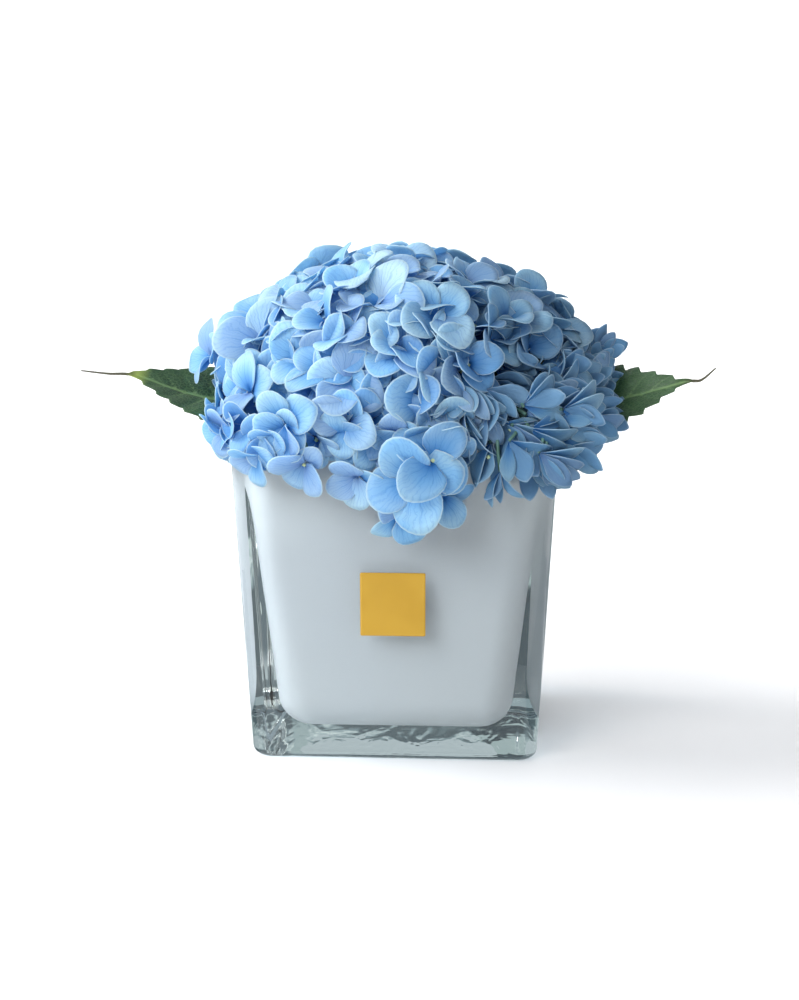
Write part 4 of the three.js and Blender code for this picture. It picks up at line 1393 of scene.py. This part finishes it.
def build_lights():
    """A broad low sun from the left, a soft lamp in front, one on the backdrop, and the room's own light."""
    for name, given in LAMPS.items():
        light = bpy.data.lights.new(name, "AREA")
        light.shape = "DISK"
        light.size = given["size"]
        light.energy = given["power"]
        lamp = in_scene(name, light)
        lamp.location = given["at"]
        way = Vector(given["aim"]) - Vector(given["at"])
        lamp.rotation_euler = way.to_track_quat("-Z", "Y").to_euler()
    sun = bpy.data.lights.new("key_light", "SUN")
    sun.energy = SUN["strength"]
    sun.angle = math.radians(SUN["spread"])
    in_scene("key_light", sun).rotation_euler = Vector(SUN["way"]).to_track_quat("-Z", "Y").to_euler()

    world = bpy.data.worlds.new("soft_room")
    world.use_nodes = True
    n = Nodes(world.node_tree)
    strength = n.math("MULTIPLY_ADD", n.ray("Is Camera Ray"), ROOM["extra_where_seen"], ROOM["strength"])
    n.fill(world.node_tree.nodes["Background"], {"Color": colour(ROOM["tint"]), "Strength": strength})
    bpy.context.scene.world = world
    bpy.context.scene.view_settings.view_transform = "Standard"


def build_stage():
    build_floor()
    build_lights()
    for name, (near, far, z, tones) in UPRIGHT_CARDS.items():
        card(name, upright(near, far, z), tones)
    for name, (near, far, z, tones) in FLOOR_CARDS.items():
        card(name, [(*near, z), (far[0], near[1], z), (*far, z), (near[0], far[1], z)], tones)
    card("glint_card", upright(*GLINT["ends"], GLINT["z"]), [(GLINT["tone"], 0)], GLINT["strength"])


def build_camera():
    azimuth, elevation = math.radians(CAMERA["azimuth"]), math.radians(CAMERA["elevation"])
    flat = math.cos(elevation)
    back = Vector((math.sin(azimuth) * flat, -math.cos(azimuth) * flat, math.sin(elevation)))
    data = bpy.data.cameras.new("camera")
    data.sensor_width = SENSOR_MM
    data.lens = SENSOR_MM * CAMERA["focal_px"] / max(FRAME_PX)
    camera = in_scene("camera", data)
    camera.location = (Vector(CAMERA["target"]) + back * CAMERA["distance"]) * MM
    camera.rotation_euler = (-back).to_track_quat("-Z", "Y").to_euler()
    bpy.context.scene.camera = camera


# ---------- the whole ----------

MOTTLE = mottle_group()
build_camera()
build_stage()

finish_piece(vase_glass(), glass_material(), "vase_glass")
finish_piece(vase_lining(), lining_material(), "vase_lining")
finish_piece(label(), label_material(), "label_plate")

form_random = np.random.default_rng(PETAL["seed"])
open_forms = [petal_form(f"petal_open_{i}", form_random, False) for i in range(PETAL["forms"])]
shut_forms = [petal_form(f"petal_shut_{i}", form_random, True) for i in range(PETAL["forms"])]
tools = {
    "scatter": scatter_tree(),
    "tube": tube_tree(),
    "petals": form_collection("petal_forms", open_forms + shut_forms),
    "eyes": form_collection("eye_forms", [eye_form()]),
    "petal": petal_material(),
    "eye": mottled_material("floret_eye", "cfdcae", "8fae78", 0.5, 300.0, 2000.0, 0.0002),
    "stalk": mottled_material("floret_stalk", "5f8a80", "35584a", 0.5, 120.0, 1500.0, 0.0002),
    # The core's near-black tones: the stalks' green darkened by painted shade inside the head.
    "core": mottled_material("head_core", "2c4a3c", "0d1a1c", 0.8, 90.0, 700.0, 0.002),
}
florets = [hang(floret) for floret in shown_florets() + inner_florets()]
for head_name in HEADS:
    build_head(head_name, florets, tools)

leaf_finish = leaf_material()
petiole_finish = mottled_material("leaf_petiole", "7f9a4e", "4e6b30", 0.5, 90.0, 1500.0, 0.0002)
for leaf_name, leaf in LEAVES.items():
    blade = in_scene(f"blade_{leaf_name}", leaf_mesh(leaf_name, leaf))
    finish_piece(blade, leaf_finish, f"leaf_{leaf_name}")
    lines = [smooth_path(leaf["petiole"], 16)]
    petiole = round_lines(f"petiole_{leaf_name}", lines, PETIOLE_RADIUS, 12, petiole_finish, tools)
    finish_piece(petiole, petiole_finish, f"leaf_{leaf_name}")

foam_finish = mottled_material("wet_foam", "3d6a3f", "1f3d24", 0.9, 120.0, 1600.0, 0.0006)
finish_piece(foam_block(), foam_finish, "floral_foam")
bark = mottled_material("woody_stem", "7c9150", "4d6133", 0.6, 60.0, 800.0, 0.0006)
for node_name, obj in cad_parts.items():
    if node_name.startswith("stem_"):
        obj.data.materials.clear()
        obj.data.materials.append(bark)
